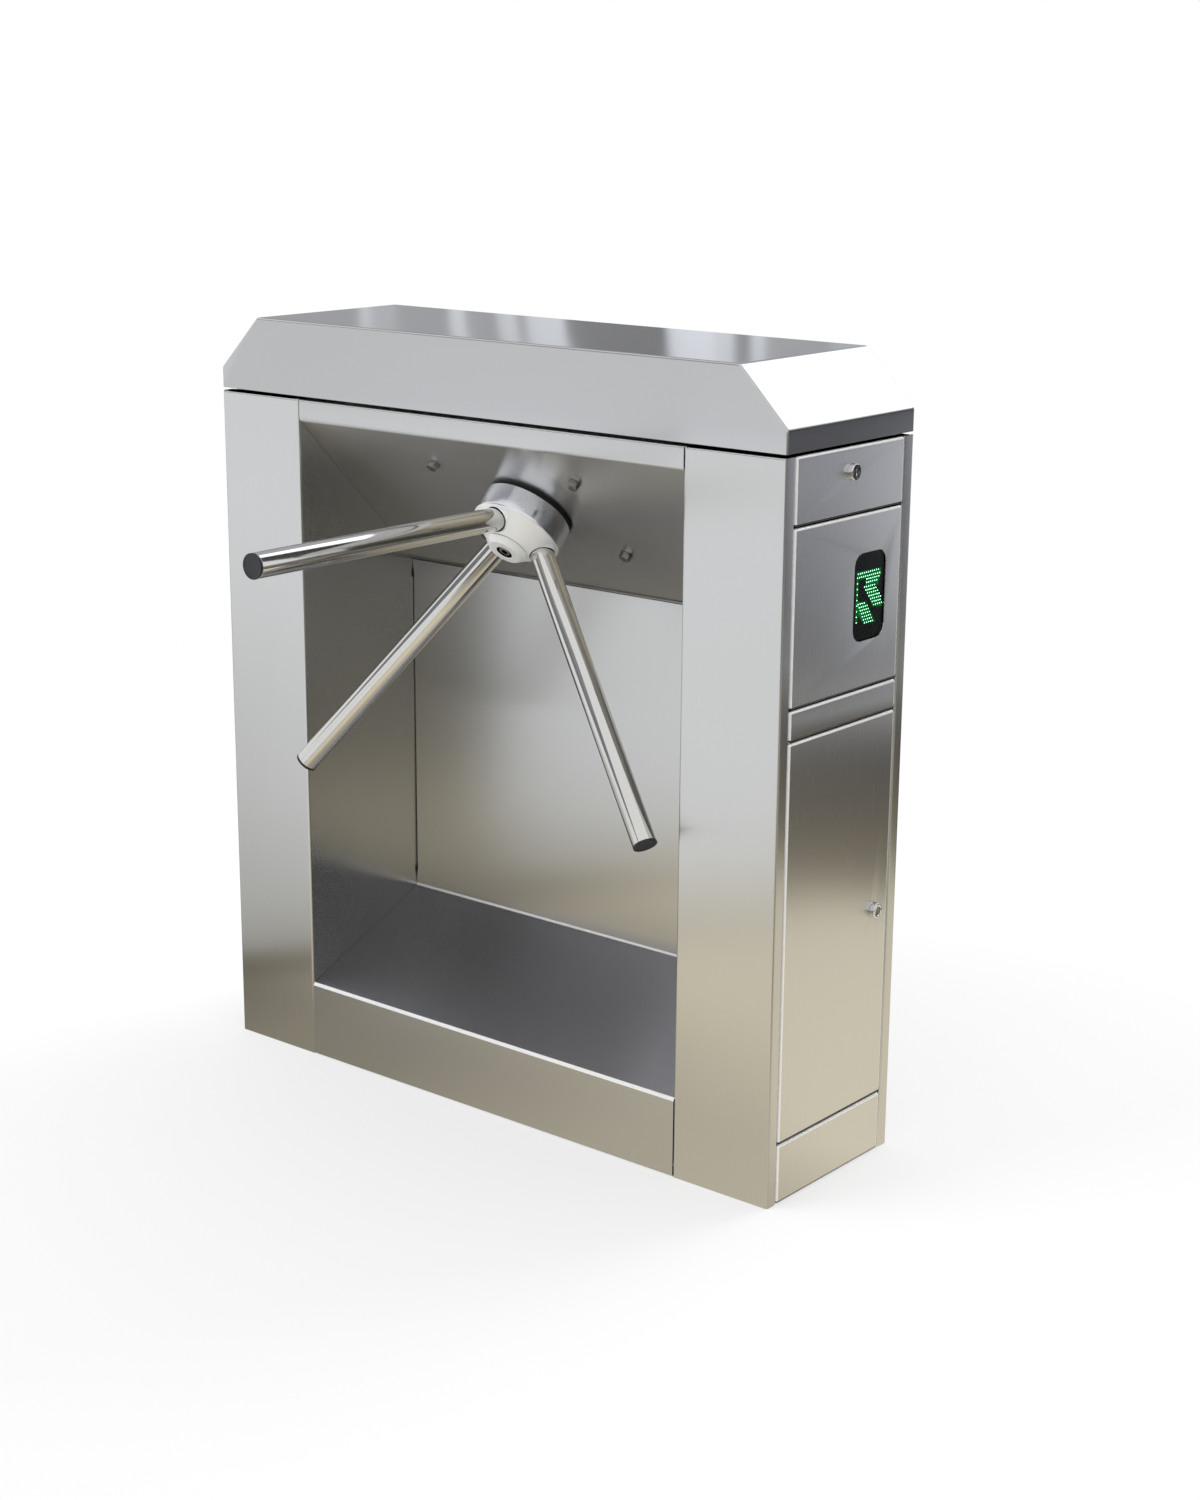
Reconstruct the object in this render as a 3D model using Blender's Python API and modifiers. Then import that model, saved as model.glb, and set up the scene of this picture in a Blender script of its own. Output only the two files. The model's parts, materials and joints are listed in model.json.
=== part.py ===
# Tripod turnstile: a folded stainless-steel cabinet with an open niche and a hub of three arms.
# Metres, +Z up, X along the cabinet, the front with the arms towards -Y.
# The origin is the middle of the cabinet's underside.
import math

import bmesh
import bpy
from mathutils import Matrix, Vector

# Cabinet
LENGTH = 0.910
WIDTH = 0.258
HEIGHT = 1.000
SHEET = 0.0015          # thickness of the stainless sheet
BEND = 0.003            # outside radius of a fold
FIT = 0.0003            # gap between pieces that touch
SEAM = 0.0015           # gap that shows between two panels
TOP_FLANGE = 0.015      # width of the flanges folded inwards

# Lid
LID_HEIGHT = 0.095
LID_LIP = 0.027         # upright part of the lid's ends, under the chamfer
LID_GAP = 0.004

# Columns and the ledges that the end panels lie against
COLUMN_WIDTH = 0.143
END_FLANGE = 0.018
PANEL_DEPTH = 0.014     # folded depth of the end panels
LEDGE_GAP = 0.0010
LEDGE_WIDTH = 0.012
CHEEK_TAIL = 0.018      # how far the niche's side walls run past its back wall

# Niche
STRIP_HEIGHT = 0.0265
NICHE_DEPTH = 0.2075
PLINTH_HEIGHT = 0.103
FLOOR_RISE = 0.091
RETURN_WIDTH = 0.025
BACK_WALL_RELIEF = 0.025
BACK_WALL_CLEAR = 0.0018    # room for the folds above and below the back wall

# End panels: the door takes the height between the kick plate and the rail
KICK_HEIGHT = 0.0755
RAIL_HEIGHT = 0.0365
DISPLAY_HEIGHT = 0.209
LOCK_PANEL_HEIGHT = 0.0795

# Doors
DOOR_DEPTH = 0.0105
PIVOT_FROM_EDGE = 0.0065
PIVOT_FROM_FACE = 0.006
PIVOT_RADIUS = 0.0025
PIVOT_REACH = 0.007
PIVOT_PLAY = 0.0004

# Display
WINDOW_WIDTH = 0.066
WINDOW_HEIGHT = 0.105
WINDOW_RADIUS = 0.015
WINDOW_Y = 0.0457
WINDOW_ABOVE_SEAM = 0.110
LENS_MARGIN = 0.012
LENS_THICKNESS = 0.003
LED_BLOCK_DEPTH = 0.006
BOARD_THICKNESS = 0.0016
BOARD_MARGIN = 0.010
PLUG_BLOCK = (0.008, 0.040, 0.012)

# Base plate
BASE_THICKNESS = 0.003
INLET_RADIUS = 0.030
ANCHOR_RADIUS = 0.007
ANCHOR_SPACING_X = 0.070
ANCHOR_SPACING_Y = 0.160

# Cam locks
LOCK_HEAD_RADIUS = 0.00975
LOCK_HEAD_LENGTH = 0.0065
LOCK_BARREL_RADIUS = 0.0083
LOCK_NUT_RADIUS = 0.011
LOCK_NUT_LENGTH = 0.004
LOCK_EDGE = 0.001               # bevel round the lock's head
LOCK_PLUG_RADIUS = 0.005
CAM_LENGTH = 0.030
CAM_WIDTH = 0.012
CAM_THICKNESS = 0.002
CAM_PLAY = 0.0006               # between a cam and the ledge it turns behind
KEY_SLOT = (0.0014, 0.0080, 0.004)
LID_LOCK_BELOW_TOP = 0.029
DOOR_LOCK_FROM_EDGE = 0.0295

# Keeper inside the lid, which the lid lock's cam turns over
KEEPER_SHEET = 0.002
KEEPER_WIDTH = 0.012
KEEPER_PLAY = 0.0008            # between the turned cam and the keeper's foot
KEEPER_PAST_CAM = 0.001
KEEPER_ABOVE_LID_EDGE = 0.020

# Lid hinges
HINGE_FROM_END = 0.145          # from the cabinet's end to the middle of a hinge
HINGE_LENGTH = 0.060
HINGE_KNUCKLE_RADIUS = 0.004
HINGE_PIN_RADIUS = 0.002
HINGE_LEAF = 0.0015
HINGE_LEAF_HEIGHT = 0.036
HINGE_STANDOFF = 0.0005         # between the knuckles and the back panel

# Arm hub, measured along its axis from the slanted panel
AXIS_DIP = math.radians(45)     # how far the hub's axis points below level
HUB_DOWN = 0.131                # from the panel's upper fold to the axis
HUB_RADIUS = 0.059
HUB_GAP = 0.005
HUB_SHOULDER = 0.037            # where the cylinder turns into the cone
HUB_TOP = 0.060
CAP_RADIUS = 0.0285
CAP_FACE_RADIUS = 0.0215
CAP_HEIGHT = 0.0077
CAP_SPIGOT_RADIUS = 0.0225
CAP_SPIGOT_LENGTH = 0.006
COUNTERBORE_RADIUS = 0.0105
COUNTERBORE_DEPTH = 0.004
SCREW_HEAD_RADIUS = 0.0074
SCREW_HEAD_HEIGHT = 0.0034
SCREW_SOCKET_RADIUS = 0.0036
HUB_EDGE = 0.0008               # broken edges of the hub and its cap

# Arms
ARM_COUNT = 3
ARM_RADIUS = 0.015
ARM_WALL = 0.0015
ARM_REACH = 0.467               # from the point where the arms' axes meet
ARM_ROOT = 0.036
ARMS_MEET = 0.006
ARM_CAP = 0.003
ARM_CAP_PLUG = 0.014
ARM_CAP_EDGE = 0.0006

# Drive behind the slanted panel
PLATE_LENGTH = 0.290
PLATE_HEIGHT = 0.200
PLATE_THICKNESS = 0.008
PLATE_CORNER = 0.010
BOLT_SPACING_X = 0.230
BOLT_SPACING_Y = 0.144
BOLT_RADIUS = 0.004
BOLT_PLAY = 0.0005
BOLT_TAIL = 0.002               # thread past the nut
BOLT_HEX = 0.013                # across flats
BOLT_HEAD = 0.0053
NUT_HEIGHT = 0.0065
WASHER_RADIUS = 0.008
WASHER_THICKNESS = 0.0016
SPIGOT_RADIUS = 0.040
SPIGOT_PLAY = 0.0015            # round the spigot in the slanted panel
HOUSING_FLANGE_RADIUS = 0.046
HOUSING_FLANGE = 0.007
HOUSING_RADIUS = 0.034
HOUSING_LENGTH = 0.045          # behind its flange
BEARING_RADIUS = 0.026
BEARING_WIDTH = 0.015
BEARING_INSET = 0.003
BEARING_RING = 0.0035           # width of each ring's face
SEAL_DEPTH = 0.0006
REAR_BEARING_STEP = 0.002       # from the housing's rear end to the rear bearing
SHOULDER_HEIGHT = 0.004
SHAFT_RADIUS = 0.0125
TAIL_RADIUS = 0.010
TAIL_PAST_DISC = 0.005
TAIL_STEP = 0.003               # from the rear bearing to the step down to the tail
COLLAR_RADIUS = 0.017
BRAKE_RADIUS = 0.036
BRAKE_LENGTH = 0.016
BRAKE_POLE = 0.006              # width of the coil's pole rings
BRAKE_GROOVE = 0.0008
BRAKE_BORE_PLAY = 0.004
ROTOR_RADIUS = 0.034
ROTOR_TEETH = 20
ROTOR_TOOTH = 0.003
ROTOR_LENGTH = 0.005
STAGE_GAP = 0.001               # running gap between stages along the shaft
GEAR_MODULE = 0.002
GEAR_TEETH = 54
PINION_TEETH = 18
GEAR_WIDTH = 0.010
GEAR_BOSS_RADIUS = 0.018
GEAR_BOSS_LENGTH = 0.006
BACKLASH = 0.0006
PRESSURE_ANGLE = math.radians(20)
MOTOR_RADIUS = 0.022
MOTOR_FOOT_RADIUS = 0.024
MOTOR_FOOT = 0.004
MOTOR_WAIST = 0.002             # step from the motor to its gearbox
MOTOR_SHAFT_RADIUS = 0.005
MOTOR_BORE = 0.010
DISC_RADIUS = 0.032
DISC_THICKNESS = 0.0015
DISC_SLOTS = 12
DISC_GAP = 0.004
DISC_SLOT_RING = (0.78, 0.92)   # the slots' inner and outer ends, as shares of the disc's radius
DISC_SLOT_SHARE = 0.44
FORK_REACH = 0.008
FORK_THICKNESS = 0.004
FORK_WIDTH = 0.016
FORK_SLOT = 0.0045
FORK_FOOT = 0.003
FORK_PAST_DISC = 0.004          # depth of the fork outside the disc's rim

# Electronics
CONTROL_BOARD_WIDTH = 0.110
CONTROL_BOARD_HEIGHT = 0.090
CONTROL_BOARD_Y = 0.035
CONTROL_BOARD_TOP_GAP = 0.021
POST_RADIUS = 0.003
POST_LENGTH = 0.008
POST_INSET = 0.008
SUPPLY_SIZE = (0.038, 0.098, 0.160)
SUPPLY_HEIGHT = 0.330
SUPPLY_STEP = 0.016             # height of the step at the supply's foot that holds its terminals
TERMINAL_MARGIN = 0.0035        # from the step's edges to the terminals
TERMINAL_WIDTH = 0.082
TERMINAL_DEPTH = 0.0115

# Blocks on the control board: lower and upper corner as shares of its width and height,
# and how far they stand off it as a share of its width
BOARD_BLOCKS = {
    "terminal block": (0.09, 0.06, 0.91, 0.17, 0.11),
    "relay 1": (0.14, 0.62, 0.28, 0.87, 0.15),
    "relay 2": (0.34, 0.62, 0.48, 0.87, 0.15),
    "relay 3": (0.54, 0.62, 0.68, 0.87, 0.15),
    "processor": (0.23, 0.26, 0.43, 0.50, 0.03),
    "transformer": (0.56, 0.24, 0.80, 0.51, 0.20),
}

# Roundness
ROUND = 24
SMALL_ROUND = 16
HOLE_ROUND = 12
POST_ROUND = 8
HEXAGON = 6
FINE_ROUND = 36
BEND_STEPS = 2

# Places worked out from the sizes
END_X = LENGTH / 2
FRONT_Y = -WIDTH / 2
BACK_Y = WIDTH / 2
BODY_TOP = HEIGHT - LID_HEIGHT - LID_GAP
LID_BOTTOM = HEIGHT - LID_HEIGHT
CHEEK_X = END_X - COLUMN_WIDTH
INSIDE_X = CHEEK_X - FIT
STRIP_BOTTOM = BODY_TOP - STRIP_HEIGHT
NICHE_Y = FRONT_Y + NICHE_DEPTH
BEHIND_WALL_Y = NICHE_Y + SHEET + FIT
PANEL_FALL = 1 / math.tan(AXIS_DIP)
FLOOR_SLOPE = FLOOR_RISE / NICHE_DEPTH
EDGE_Y = WIDTH / 2 - END_FLANGE - SEAM
LEDGE_X = END_X - PANEL_DEPTH - LEDGE_GAP
LOCK_PANEL_BOTTOM = BODY_TOP - LOCK_PANEL_HEIGHT
DISPLAY_BOTTOM = LOCK_PANEL_BOTTOM - SEAM - DISPLAY_HEIGHT
RAIL_BOTTOM = DISPLAY_BOTTOM - SEAM - RAIL_HEIGHT
DOOR_TOP = RAIL_BOTTOM - SEAM
DOOR_BOTTOM = KICK_HEIGHT + SEAM
WINDOW_Z = DISPLAY_BOTTOM + WINDOW_ABOVE_SEAM
LID_LOCK_Z = BODY_TOP - LID_LOCK_BELOW_TOP
DOOR_LOCK_Z = (DOOR_BOTTOM + DOOR_TOP) / 2
DOOR_LOCK_Y = EDGE_Y - DOOR_LOCK_FROM_EDGE
PIVOT_X = END_X - PIVOT_FROM_FACE
PIVOT_Y = -EDGE_Y + PIVOT_FROM_EDGE
HINGE_Y = BACK_Y + HINGE_KNUCKLE_RADIUS + HINGE_STANDOFF
HINGE_Z = BODY_TOP + LID_GAP / 2
CAM_FACE = -(PANEL_DEPTH + LEDGE_GAP + SHEET + CAM_PLAY)

AXIS = Vector((0, -math.cos(AXIS_DIP), -math.sin(AXIS_DIP)))
DOWN_PANEL = Vector((0, math.sin(AXIS_DIP), -math.cos(AXIS_DIP)))
HUB_CENTRE = Vector((0, FRONT_Y, STRIP_BOTTOM)) + DOWN_PANEL * HUB_DOWN

PLATE_FACE = -(SHEET + FIT)
PLATE_BACK = PLATE_FACE - PLATE_THICKNESS
HOUSING_FACE = PLATE_BACK - FIT
FLANGE_BACK = HOUSING_FACE - HOUSING_FLANGE
HOUSING_BACK = FLANGE_BACK - HOUSING_LENGTH
FRONT_SHOULDER = -(BEARING_INSET + BEARING_WIDTH + FIT)
REAR_SHOULDER = HOUSING_BACK + BEARING_WIDTH + REAR_BEARING_STEP + FIT
BRAKE_FACE = HOUSING_BACK - FIT
BRAKE_BACK = BRAKE_FACE - BRAKE_LENGTH
ROTOR_FACE = BRAKE_BACK - STAGE_GAP
ROTOR_BACK = ROTOR_FACE - ROTOR_LENGTH
GEAR_FACE = ROTOR_BACK - 3 * STAGE_GAP
GEAR_BACK = GEAR_FACE - GEAR_WIDTH
DISC_FACE = GEAR_BACK - GEAR_BOSS_LENGTH - DISC_GAP
DISC_BACK = DISC_FACE - DISC_THICKNESS
TAIL_END = DISC_BACK - TAIL_PAST_DISC
GEAR_RADIUS = GEAR_MODULE * GEAR_TEETH / 2
PINION_RADIUS = GEAR_MODULE * PINION_TEETH / 2
MOTOR_X = GEAR_RADIUS + PINION_RADIUS
MOTOR_END = GEAR_FACE + 3 * STAGE_GAP

FINISHES = {
    "brushed steel": ((0.52, 0.52, 0.51), 0.34, 1.0),
    "polished steel": ((0.66, 0.65, 0.62), 0.12, 1.0),
    "satin aluminium": ((0.62, 0.62, 0.60), 0.32, 1.0),
    "bright zinc": ((0.55, 0.56, 0.58), 0.30, 1.0),
    "plain steel": ((0.35, 0.35, 0.36), 0.40, 1.0),
    "cast iron": ((0.07, 0.08, 0.10), 0.55, 0.4),
    "black plastic": ((0.020, 0.020, 0.028), 0.45, 0.0),
    "smoked acrylic": ((0.006, 0.018, 0.010), 0.08, 0.0),
    "green board": ((0.01, 0.12, 0.04), 0.50, 0.0),
    "black steel": ((0.03, 0.03, 0.03), 0.45, 0.6),
}


# Scene

def clear_scene():
    for ob in list(bpy.data.objects):
        bpy.data.objects.remove(ob, do_unlink=True)


def new_collection(name):
    collection = bpy.data.collections.new(name)
    bpy.context.scene.collection.children.link(collection)
    return collection


clear_scene()
PARTS = new_collection("turnstile")
CUTTERS = new_collection("turnstile cutters")


def give_finish(ob, finish):
    colour, roughness, metallic = FINISHES[finish]
    material = bpy.data.materials.new(ob.name)
    material.use_nodes = True
    shader = material.node_tree.nodes["Principled BSDF"]
    shader.inputs["Base Color"].default_value = (*colour, 1)
    shader.inputs["Roughness"].default_value = roughness
    shader.inputs["Metallic"].default_value = metallic
    ob.data.materials.append(material)


def shade(mesh):
    mesh.shade_smooth()
    mesh.set_sharp_from_angle(angle=math.radians(30))


def make_object(name, bm, finish):
    """Links a finished part, or a cutter where it has no finish."""
    mesh = bpy.data.meshes.new(name)
    bm.to_mesh(mesh)
    bm.free()
    ob = bpy.data.objects.new(name, mesh)
    if finish:
        PARTS.objects.link(ob)
        give_finish(ob, finish)
        shade(mesh)
    else:
        CUTTERS.objects.link(ob)
        ob.hide_render = True
        ob.display_type = "WIRE"
    return ob


def make_frame(name, origin, x_axis=(1, 0, 0), z_axis=(0, 0, 1)):
    """An empty whose own axes a piece is built on."""
    x, z = Vector(x_axis), Vector(z_axis)
    turn = Matrix((x, z.cross(x), z)).transposed().to_4x4()
    ob = bpy.data.objects.new(name, None)
    PARTS.objects.link(ob)
    ob.matrix_world = Matrix.Translation(origin) @ turn
    return ob


def hang(frame, *pieces):
    """Parents pieces that were built in the frame's own axes."""
    for piece in pieces:
        piece.parent = frame
    return pieces[0]


def carry(frame, *pieces):
    """Parents pieces that were built in the cabinet's axes."""
    for piece in pieces:
        piece.parent = frame
        piece.matrix_parent_inverse = frame.matrix_world.inverted()
    return pieces[0]


# Shapes

def box_mesh(low, high):
    bm = bmesh.new()
    bmesh.ops.create_cube(bm, size=1)
    size = Vector(high) - Vector(low)
    bmesh.ops.scale(bm, vec=[abs(s) for s in size], verts=bm.verts)
    bmesh.ops.translate(bm, vec=(Vector(low) + Vector(high)) / 2, verts=bm.verts)
    return bm


def box(name, low, high, finish=None):
    return make_object(name, box_mesh(low, high), finish)


def rod(name, radius, low, high, finish=None, sides=SMALL_ROUND, at=(0, 0)):
    """A cylinder, or a prism with few sides, along its own Z."""
    bm = bmesh.new()
    bmesh.ops.create_cone(bm, cap_ends=True, segments=sides, radius1=radius, radius2=radius,
                          depth=abs(high - low))
    bmesh.ops.translate(bm, vec=(at[0], at[1], (low + high) / 2), verts=bm.verts)
    return make_object(name, bm, finish)


def rod_along_x(name, radius, low, high, centre, sides=SMALL_ROUND):
    """A cutter along X through the point (y, z)."""
    ob = rod(name, radius, low, high, sides=sides)
    ob.location = (0, centre[0], centre[1])
    ob.rotation_euler = (0, math.pi / 2, 0)
    return ob


def turned(name, profile, finish=None, steps=ROUND, ring=False):
    """Spins a profile of (radius, height) about Z, its outer side written from the top down."""
    bm = bmesh.new()
    verts = [bm.verts.new((radius, 0, height)) for radius, height in profile]
    pairs = list(zip(verts, verts[1:]))
    if ring:
        pairs.append((verts[-1], verts[0]))
    for pair in pairs:
        bm.edges.new(pair)
    ob = make_object(name, bm, finish)
    screw = ob.modifiers.new("turn", "SCREW")
    screw.steps = steps
    screw.render_steps = steps
    screw.use_merge_vertices = True
    screw.merge_threshold = 0.00001
    return ob


def circle(radius, steps, at=(0, 0)):
    step = 2 * math.pi / steps
    return [(at[0] + radius * math.cos(i * step), at[1] + radius * math.sin(i * step)) for i in range(steps)]


def rounded_rectangle(width, height, radius, at=(0, 0), steps=3):
    points = []
    for corner, (sx, sy) in enumerate(((1, 1), (-1, 1), (-1, -1), (1, -1))):
        for i in range(steps + 1):
            angle = (corner + i / steps) * math.pi / 2
            x = sx * (width / 2 - radius) + radius * math.cos(angle)
            y = sy * (height / 2 - radius) + radius * math.sin(angle)
            points.append((at[0] + x, at[1] + y))
    return points


def plate(name, outlines, low, high, finish=None):
    """A flat plate in its own XY plane. Outlines inside the first one are holes."""
    curve = bpy.data.curves.new(name + " outline", "CURVE")
    curve.dimensions = "2D"
    curve.fill_mode = "BOTH"
    curve.extrude = abs(high - low) / 2
    for outline in outlines:
        spline = curve.splines.new("POLY")
        spline.points.add(len(outline) - 1)
        for point, (x, y) in zip(spline.points, outline):
            point.co = (x, y, 0, 1)
        spline.use_cyclic_u = True
    flat = bpy.data.objects.new(name + " outline", curve)
    CUTTERS.objects.link(flat)
    graph = bpy.context.evaluated_depsgraph_get()
    mesh = bpy.data.meshes.new_from_object(flat.evaluated_get(graph))
    bpy.data.objects.remove(flat)
    bm = bmesh.new()
    bm.from_mesh(mesh)
    bmesh.ops.remove_doubles(bm, verts=bm.verts, dist=0.000001)
    bmesh.ops.translate(bm, vec=(0, 0, (low + high) / 2), verts=bm.verts)
    bmesh.ops.recalc_face_normals(bm, faces=bm.faces)
    return make_object(name, bm, finish)


def boolean(ob, tools, operation):
    for tool in tools:
        step = ob.modifiers.new(tool.name, "BOOLEAN")
        step.operation = operation
        step.solver = "EXACT"
        step.object = tool
    return ob


def cut(ob, *tools):
    return boolean(ob, tools, "DIFFERENCE")


def join(ob, *tools):
    return boolean(ob, tools, "UNION")


# Sheet metal

def make_sheet(ob):
    """Rounds the folds of an open surface and gives it its thickness, inwards."""
    bend = ob.modifiers.new("bend", "BEVEL")
    bend.width = BEND
    bend.segments = BEND_STEPS
    bend.limit_method = "ANGLE"
    bend.angle_limit = math.radians(15)
    wall = ob.modifiers.new("wall", "SOLIDIFY")
    wall.thickness = SHEET
    wall.offset = -1
    wall.use_even_offset = True
    return ob


def face_out(bm, outward):
    """Turns all faces so that the largest one looks outward."""
    bmesh.ops.recalc_face_normals(bm, faces=bm.faces)
    largest = max(bm.faces, key=lambda face: face.calc_area())
    if largest.normal.dot(Vector(outward)) < 0:
        bmesh.ops.reverse_faces(bm, faces=bm.faces)


def find_edge(bm, start, end):
    ends = (Vector(start), Vector(end))
    for edge in bm.edges:
        a, b = (vert.co for vert in edge.verts)
        for p, q in (ends, ends[::-1]):
            if (a - p).length < 0.00001 and (b - q).length < 0.00001:
                return edge
    return None


def fold_flange(bm, start, end, direction, width, relief):
    """Folds a flange out of an open edge, with a relief notch at each end of it."""
    edge = find_edge(bm, start, end)
    length = edge.calc_length()
    far = max(edge.verts, key=lambda vert: (vert.co - Vector(start)).length)
    near = edge.other_vert(far)
    bmesh.utils.edge_split(edge, near, relief / length)
    rest = max(far.link_edges, key=lambda e: (e.other_vert(far).co - Vector(start)).length < relief * 1.5)
    bmesh.utils.edge_split(rest, far, relief / rest.calc_length())
    offset = (Vector(end) - Vector(start)).normalized() * relief
    middle = find_edge(bm, Vector(start) + offset, Vector(end) - offset)
    made = bmesh.ops.extrude_edge_only(bm, edges=[middle])["geom"]
    verts = [item for item in made if isinstance(item, bmesh.types.BMVert)]
    bmesh.ops.translate(bm, vec=Vector(direction) * width, verts=verts)


def folded(name, path, along, low, high, outward, flanges=()):
    """A sheet folded along a path in the plane across the axis "along"."""
    def point(pair, distance):
        return (pair[0], pair[1], distance) if along == "Z" else (distance, pair[0], pair[1])

    bm = bmesh.new()
    verts = [bm.verts.new(point(pair, low)) for pair in path]
    edges = [bm.edges.new(pair) for pair in zip(verts, verts[1:])]
    made = bmesh.ops.extrude_edge_only(bm, edges=edges)["geom"]
    moved = [item for item in made if isinstance(item, bmesh.types.BMVert)]
    bmesh.ops.translate(bm, vec=Vector(point((0, 0), high - low)), verts=moved)
    for start, end, direction, width, relief in flanges:
        fold_flange(bm, start, end, direction, width, relief)
    face_out(bm, outward)
    return make_sheet(make_object(name, bm, "brushed steel"))


def tray(name, side, low_z, high_z, depth=PANEL_DEPTH):
    """An end panel: a face in the cabinet's end with four edges folded inwards."""
    bm = box_mesh((side * (END_X - depth), -EDGE_Y, low_z), (side * END_X, EDGE_Y, high_z))
    inner = min(bm.faces, key=lambda face: side * face.calc_center_median().x)
    bmesh.ops.delete(bm, geom=[inner], context="FACES_ONLY")
    return make_sheet(make_object(name, bm, "brushed steel"))


# Cabinet

def make_column(name, side):
    """A front corner: the end ledge, the end flange, the front and the niche's side wall in one sheet."""
    return_y = FRONT_Y + END_FLANGE
    tail_y = NICHE_Y + CHEEK_TAIL
    path = [
        (side * LEDGE_X, return_y + LEDGE_WIDTH),
        (side * LEDGE_X, return_y),
        (side * END_X, return_y),
        (side * END_X, FRONT_Y),
        (side * CHEEK_X, FRONT_Y),
        (side * CHEEK_X, tail_y),
    ]
    relief = BEND + SHEET
    top = [((side * END_X, FRONT_Y, BODY_TOP), (side * CHEEK_X, FRONT_Y, BODY_TOP), (0, 1, 0),
            TOP_FLANGE, relief)]
    column = folded(name, path, "Z", 0, BODY_TOP, (-side, 0, 0), flanges=top)
    inner, outer = sorted((side * (CHEEK_X - SHEET), side * (CHEEK_X + 2 * SHEET)))
    notch = box(name + " notch", (inner, return_y + LEDGE_WIDTH, -SHEET),
                (outer, tail_y + SHEET, BASE_THICKNESS + FIT))
    return cut(column, notch)


def make_back_panel():
    return_y = BACK_Y - END_FLANGE
    half = [(LEDGE_X, return_y - LEDGE_WIDTH), (LEDGE_X, return_y), (END_X, return_y), (END_X, BACK_Y)]
    path = half + [(-x, y) for x, y in reversed(half)]
    top = [((END_X, BACK_Y, BODY_TOP), (-END_X, BACK_Y, BODY_TOP), (0, -1, 0), TOP_FLANGE, BEND + SHEET)]
    return folded("back_panel", path, "Z", 0, BODY_TOP, (0, 1, 0), flanges=top)


def make_mechanism_panel():
    """The strip over the niche and the slanted panel, which carries the drive, in one sheet."""
    low_z = STRIP_BOTTOM - (BEHIND_WALL_Y - FRONT_Y) * PANEL_FALL
    path = [
        (FRONT_Y + RETURN_WIDTH, BODY_TOP),
        (FRONT_Y, BODY_TOP),
        (FRONT_Y, STRIP_BOTTOM),
        (BEHIND_WALL_Y, low_z),
        (BEHIND_WALL_Y, low_z - TOP_FLANGE),
    ]
    panel = folded("mechanism_panel", path, "X", -INSIDE_X, INSIDE_X, AXIS)
    reach = PLATE_THICKNESS
    bore = rod("mechanism panel bore", SPIGOT_RADIUS + SPIGOT_PLAY, -reach, reach, sides=ROUND)
    holes = [rod("mechanism panel hole", BOLT_RADIUS + BOLT_PLAY, -reach, reach, at=at)
             for at in bolt_places()]
    hang(HUB_FRAME, bore, *holes)
    return cut(panel, bore, *holes)


def make_niche_back_wall():
    bottom = PLINTH_HEIGHT + (NICHE_Y + SHEET - FRONT_Y) * FLOOR_SLOPE + 2 * FIT + BACK_WALL_CLEAR
    top = STRIP_BOTTOM - (NICHE_Y + SHEET - FRONT_Y) * PANEL_FALL - 2 * FIT - BACK_WALL_CLEAR
    corners = [(-INSIDE_X, NICHE_Y), (INSIDE_X, NICHE_Y)]
    sides = [((x, y, bottom), (x, y, top), (0, 1, 0), TOP_FLANGE, BACK_WALL_RELIEF) for x, y in corners]
    return folded("niche_back_wall", corners, "Z", bottom, top, (0, -1, 0), flanges=sides)


def make_plinth_panel():
    """The beam under the niche and the niche's sloping floor in one sheet."""
    high_z = PLINTH_HEIGHT + (BEHIND_WALL_Y - FRONT_Y) * FLOOR_SLOPE
    path = [
        (FRONT_Y + RETURN_WIDTH, 0),
        (FRONT_Y, 0),
        (FRONT_Y, PLINTH_HEIGHT),
        (BEHIND_WALL_Y, high_z),
        (BEHIND_WALL_Y, high_z + TOP_FLANGE),
    ]
    return folded("plinth_panel", path, "X", -INSIDE_X, INSIDE_X, (0, -FLOOR_SLOPE, 1))


def make_base_plate():
    half_x = END_X - PANEL_DEPTH - FIT
    half_y = BACK_Y - END_FLANGE - LEDGE_WIDTH - FIT
    inlet_x = (CHEEK_X + half_x) / 2
    outlines = [rounded_rectangle(2 * half_x, 2 * half_y, BEND)]
    for side in (1, -1):
        outlines.append(circle(INLET_RADIUS, ROUND, (side * inlet_x, 0)))
        for dx in (-ANCHOR_SPACING_X / 2, ANCHOR_SPACING_X / 2):
            for dy in (-ANCHOR_SPACING_Y / 2, ANCHOR_SPACING_Y / 2):
                outlines.append(circle(ANCHOR_RADIUS, POST_ROUND, (side * inlet_x + dx, dy)))
    return plate("base_plate", outlines, 0, BASE_THICKNESS, "bright zinc")


def make_lid():
    """The chamfered lid, open underneath, with a keeper welded in at each end."""
    bm = box_mesh((-END_X, FRONT_Y, LID_BOTTOM), (END_X, BACK_Y, HEIGHT))
    ends = [edge for edge in bm.edges
            if all(vert.co.z > LID_BOTTOM + LID_LIP for vert in edge.verts)
            and abs(edge.verts[0].co.x - edge.verts[1].co.x) < SHEET]
    bmesh.ops.bevel(bm, geom=ends, offset=LID_HEIGHT - LID_LIP, segments=1, affect="EDGES",
                    offset_type="OFFSET")
    under = min(bm.faces, key=lambda face: face.calc_center_median().z)
    bmesh.ops.delete(bm, geom=[under], context="FACES_ONLY")
    lid = make_sheet(make_object("lid", bm, "brushed steel"))
    for side in (1, -1):
        join(lid, *make_keeper(side))
    return lid


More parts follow.
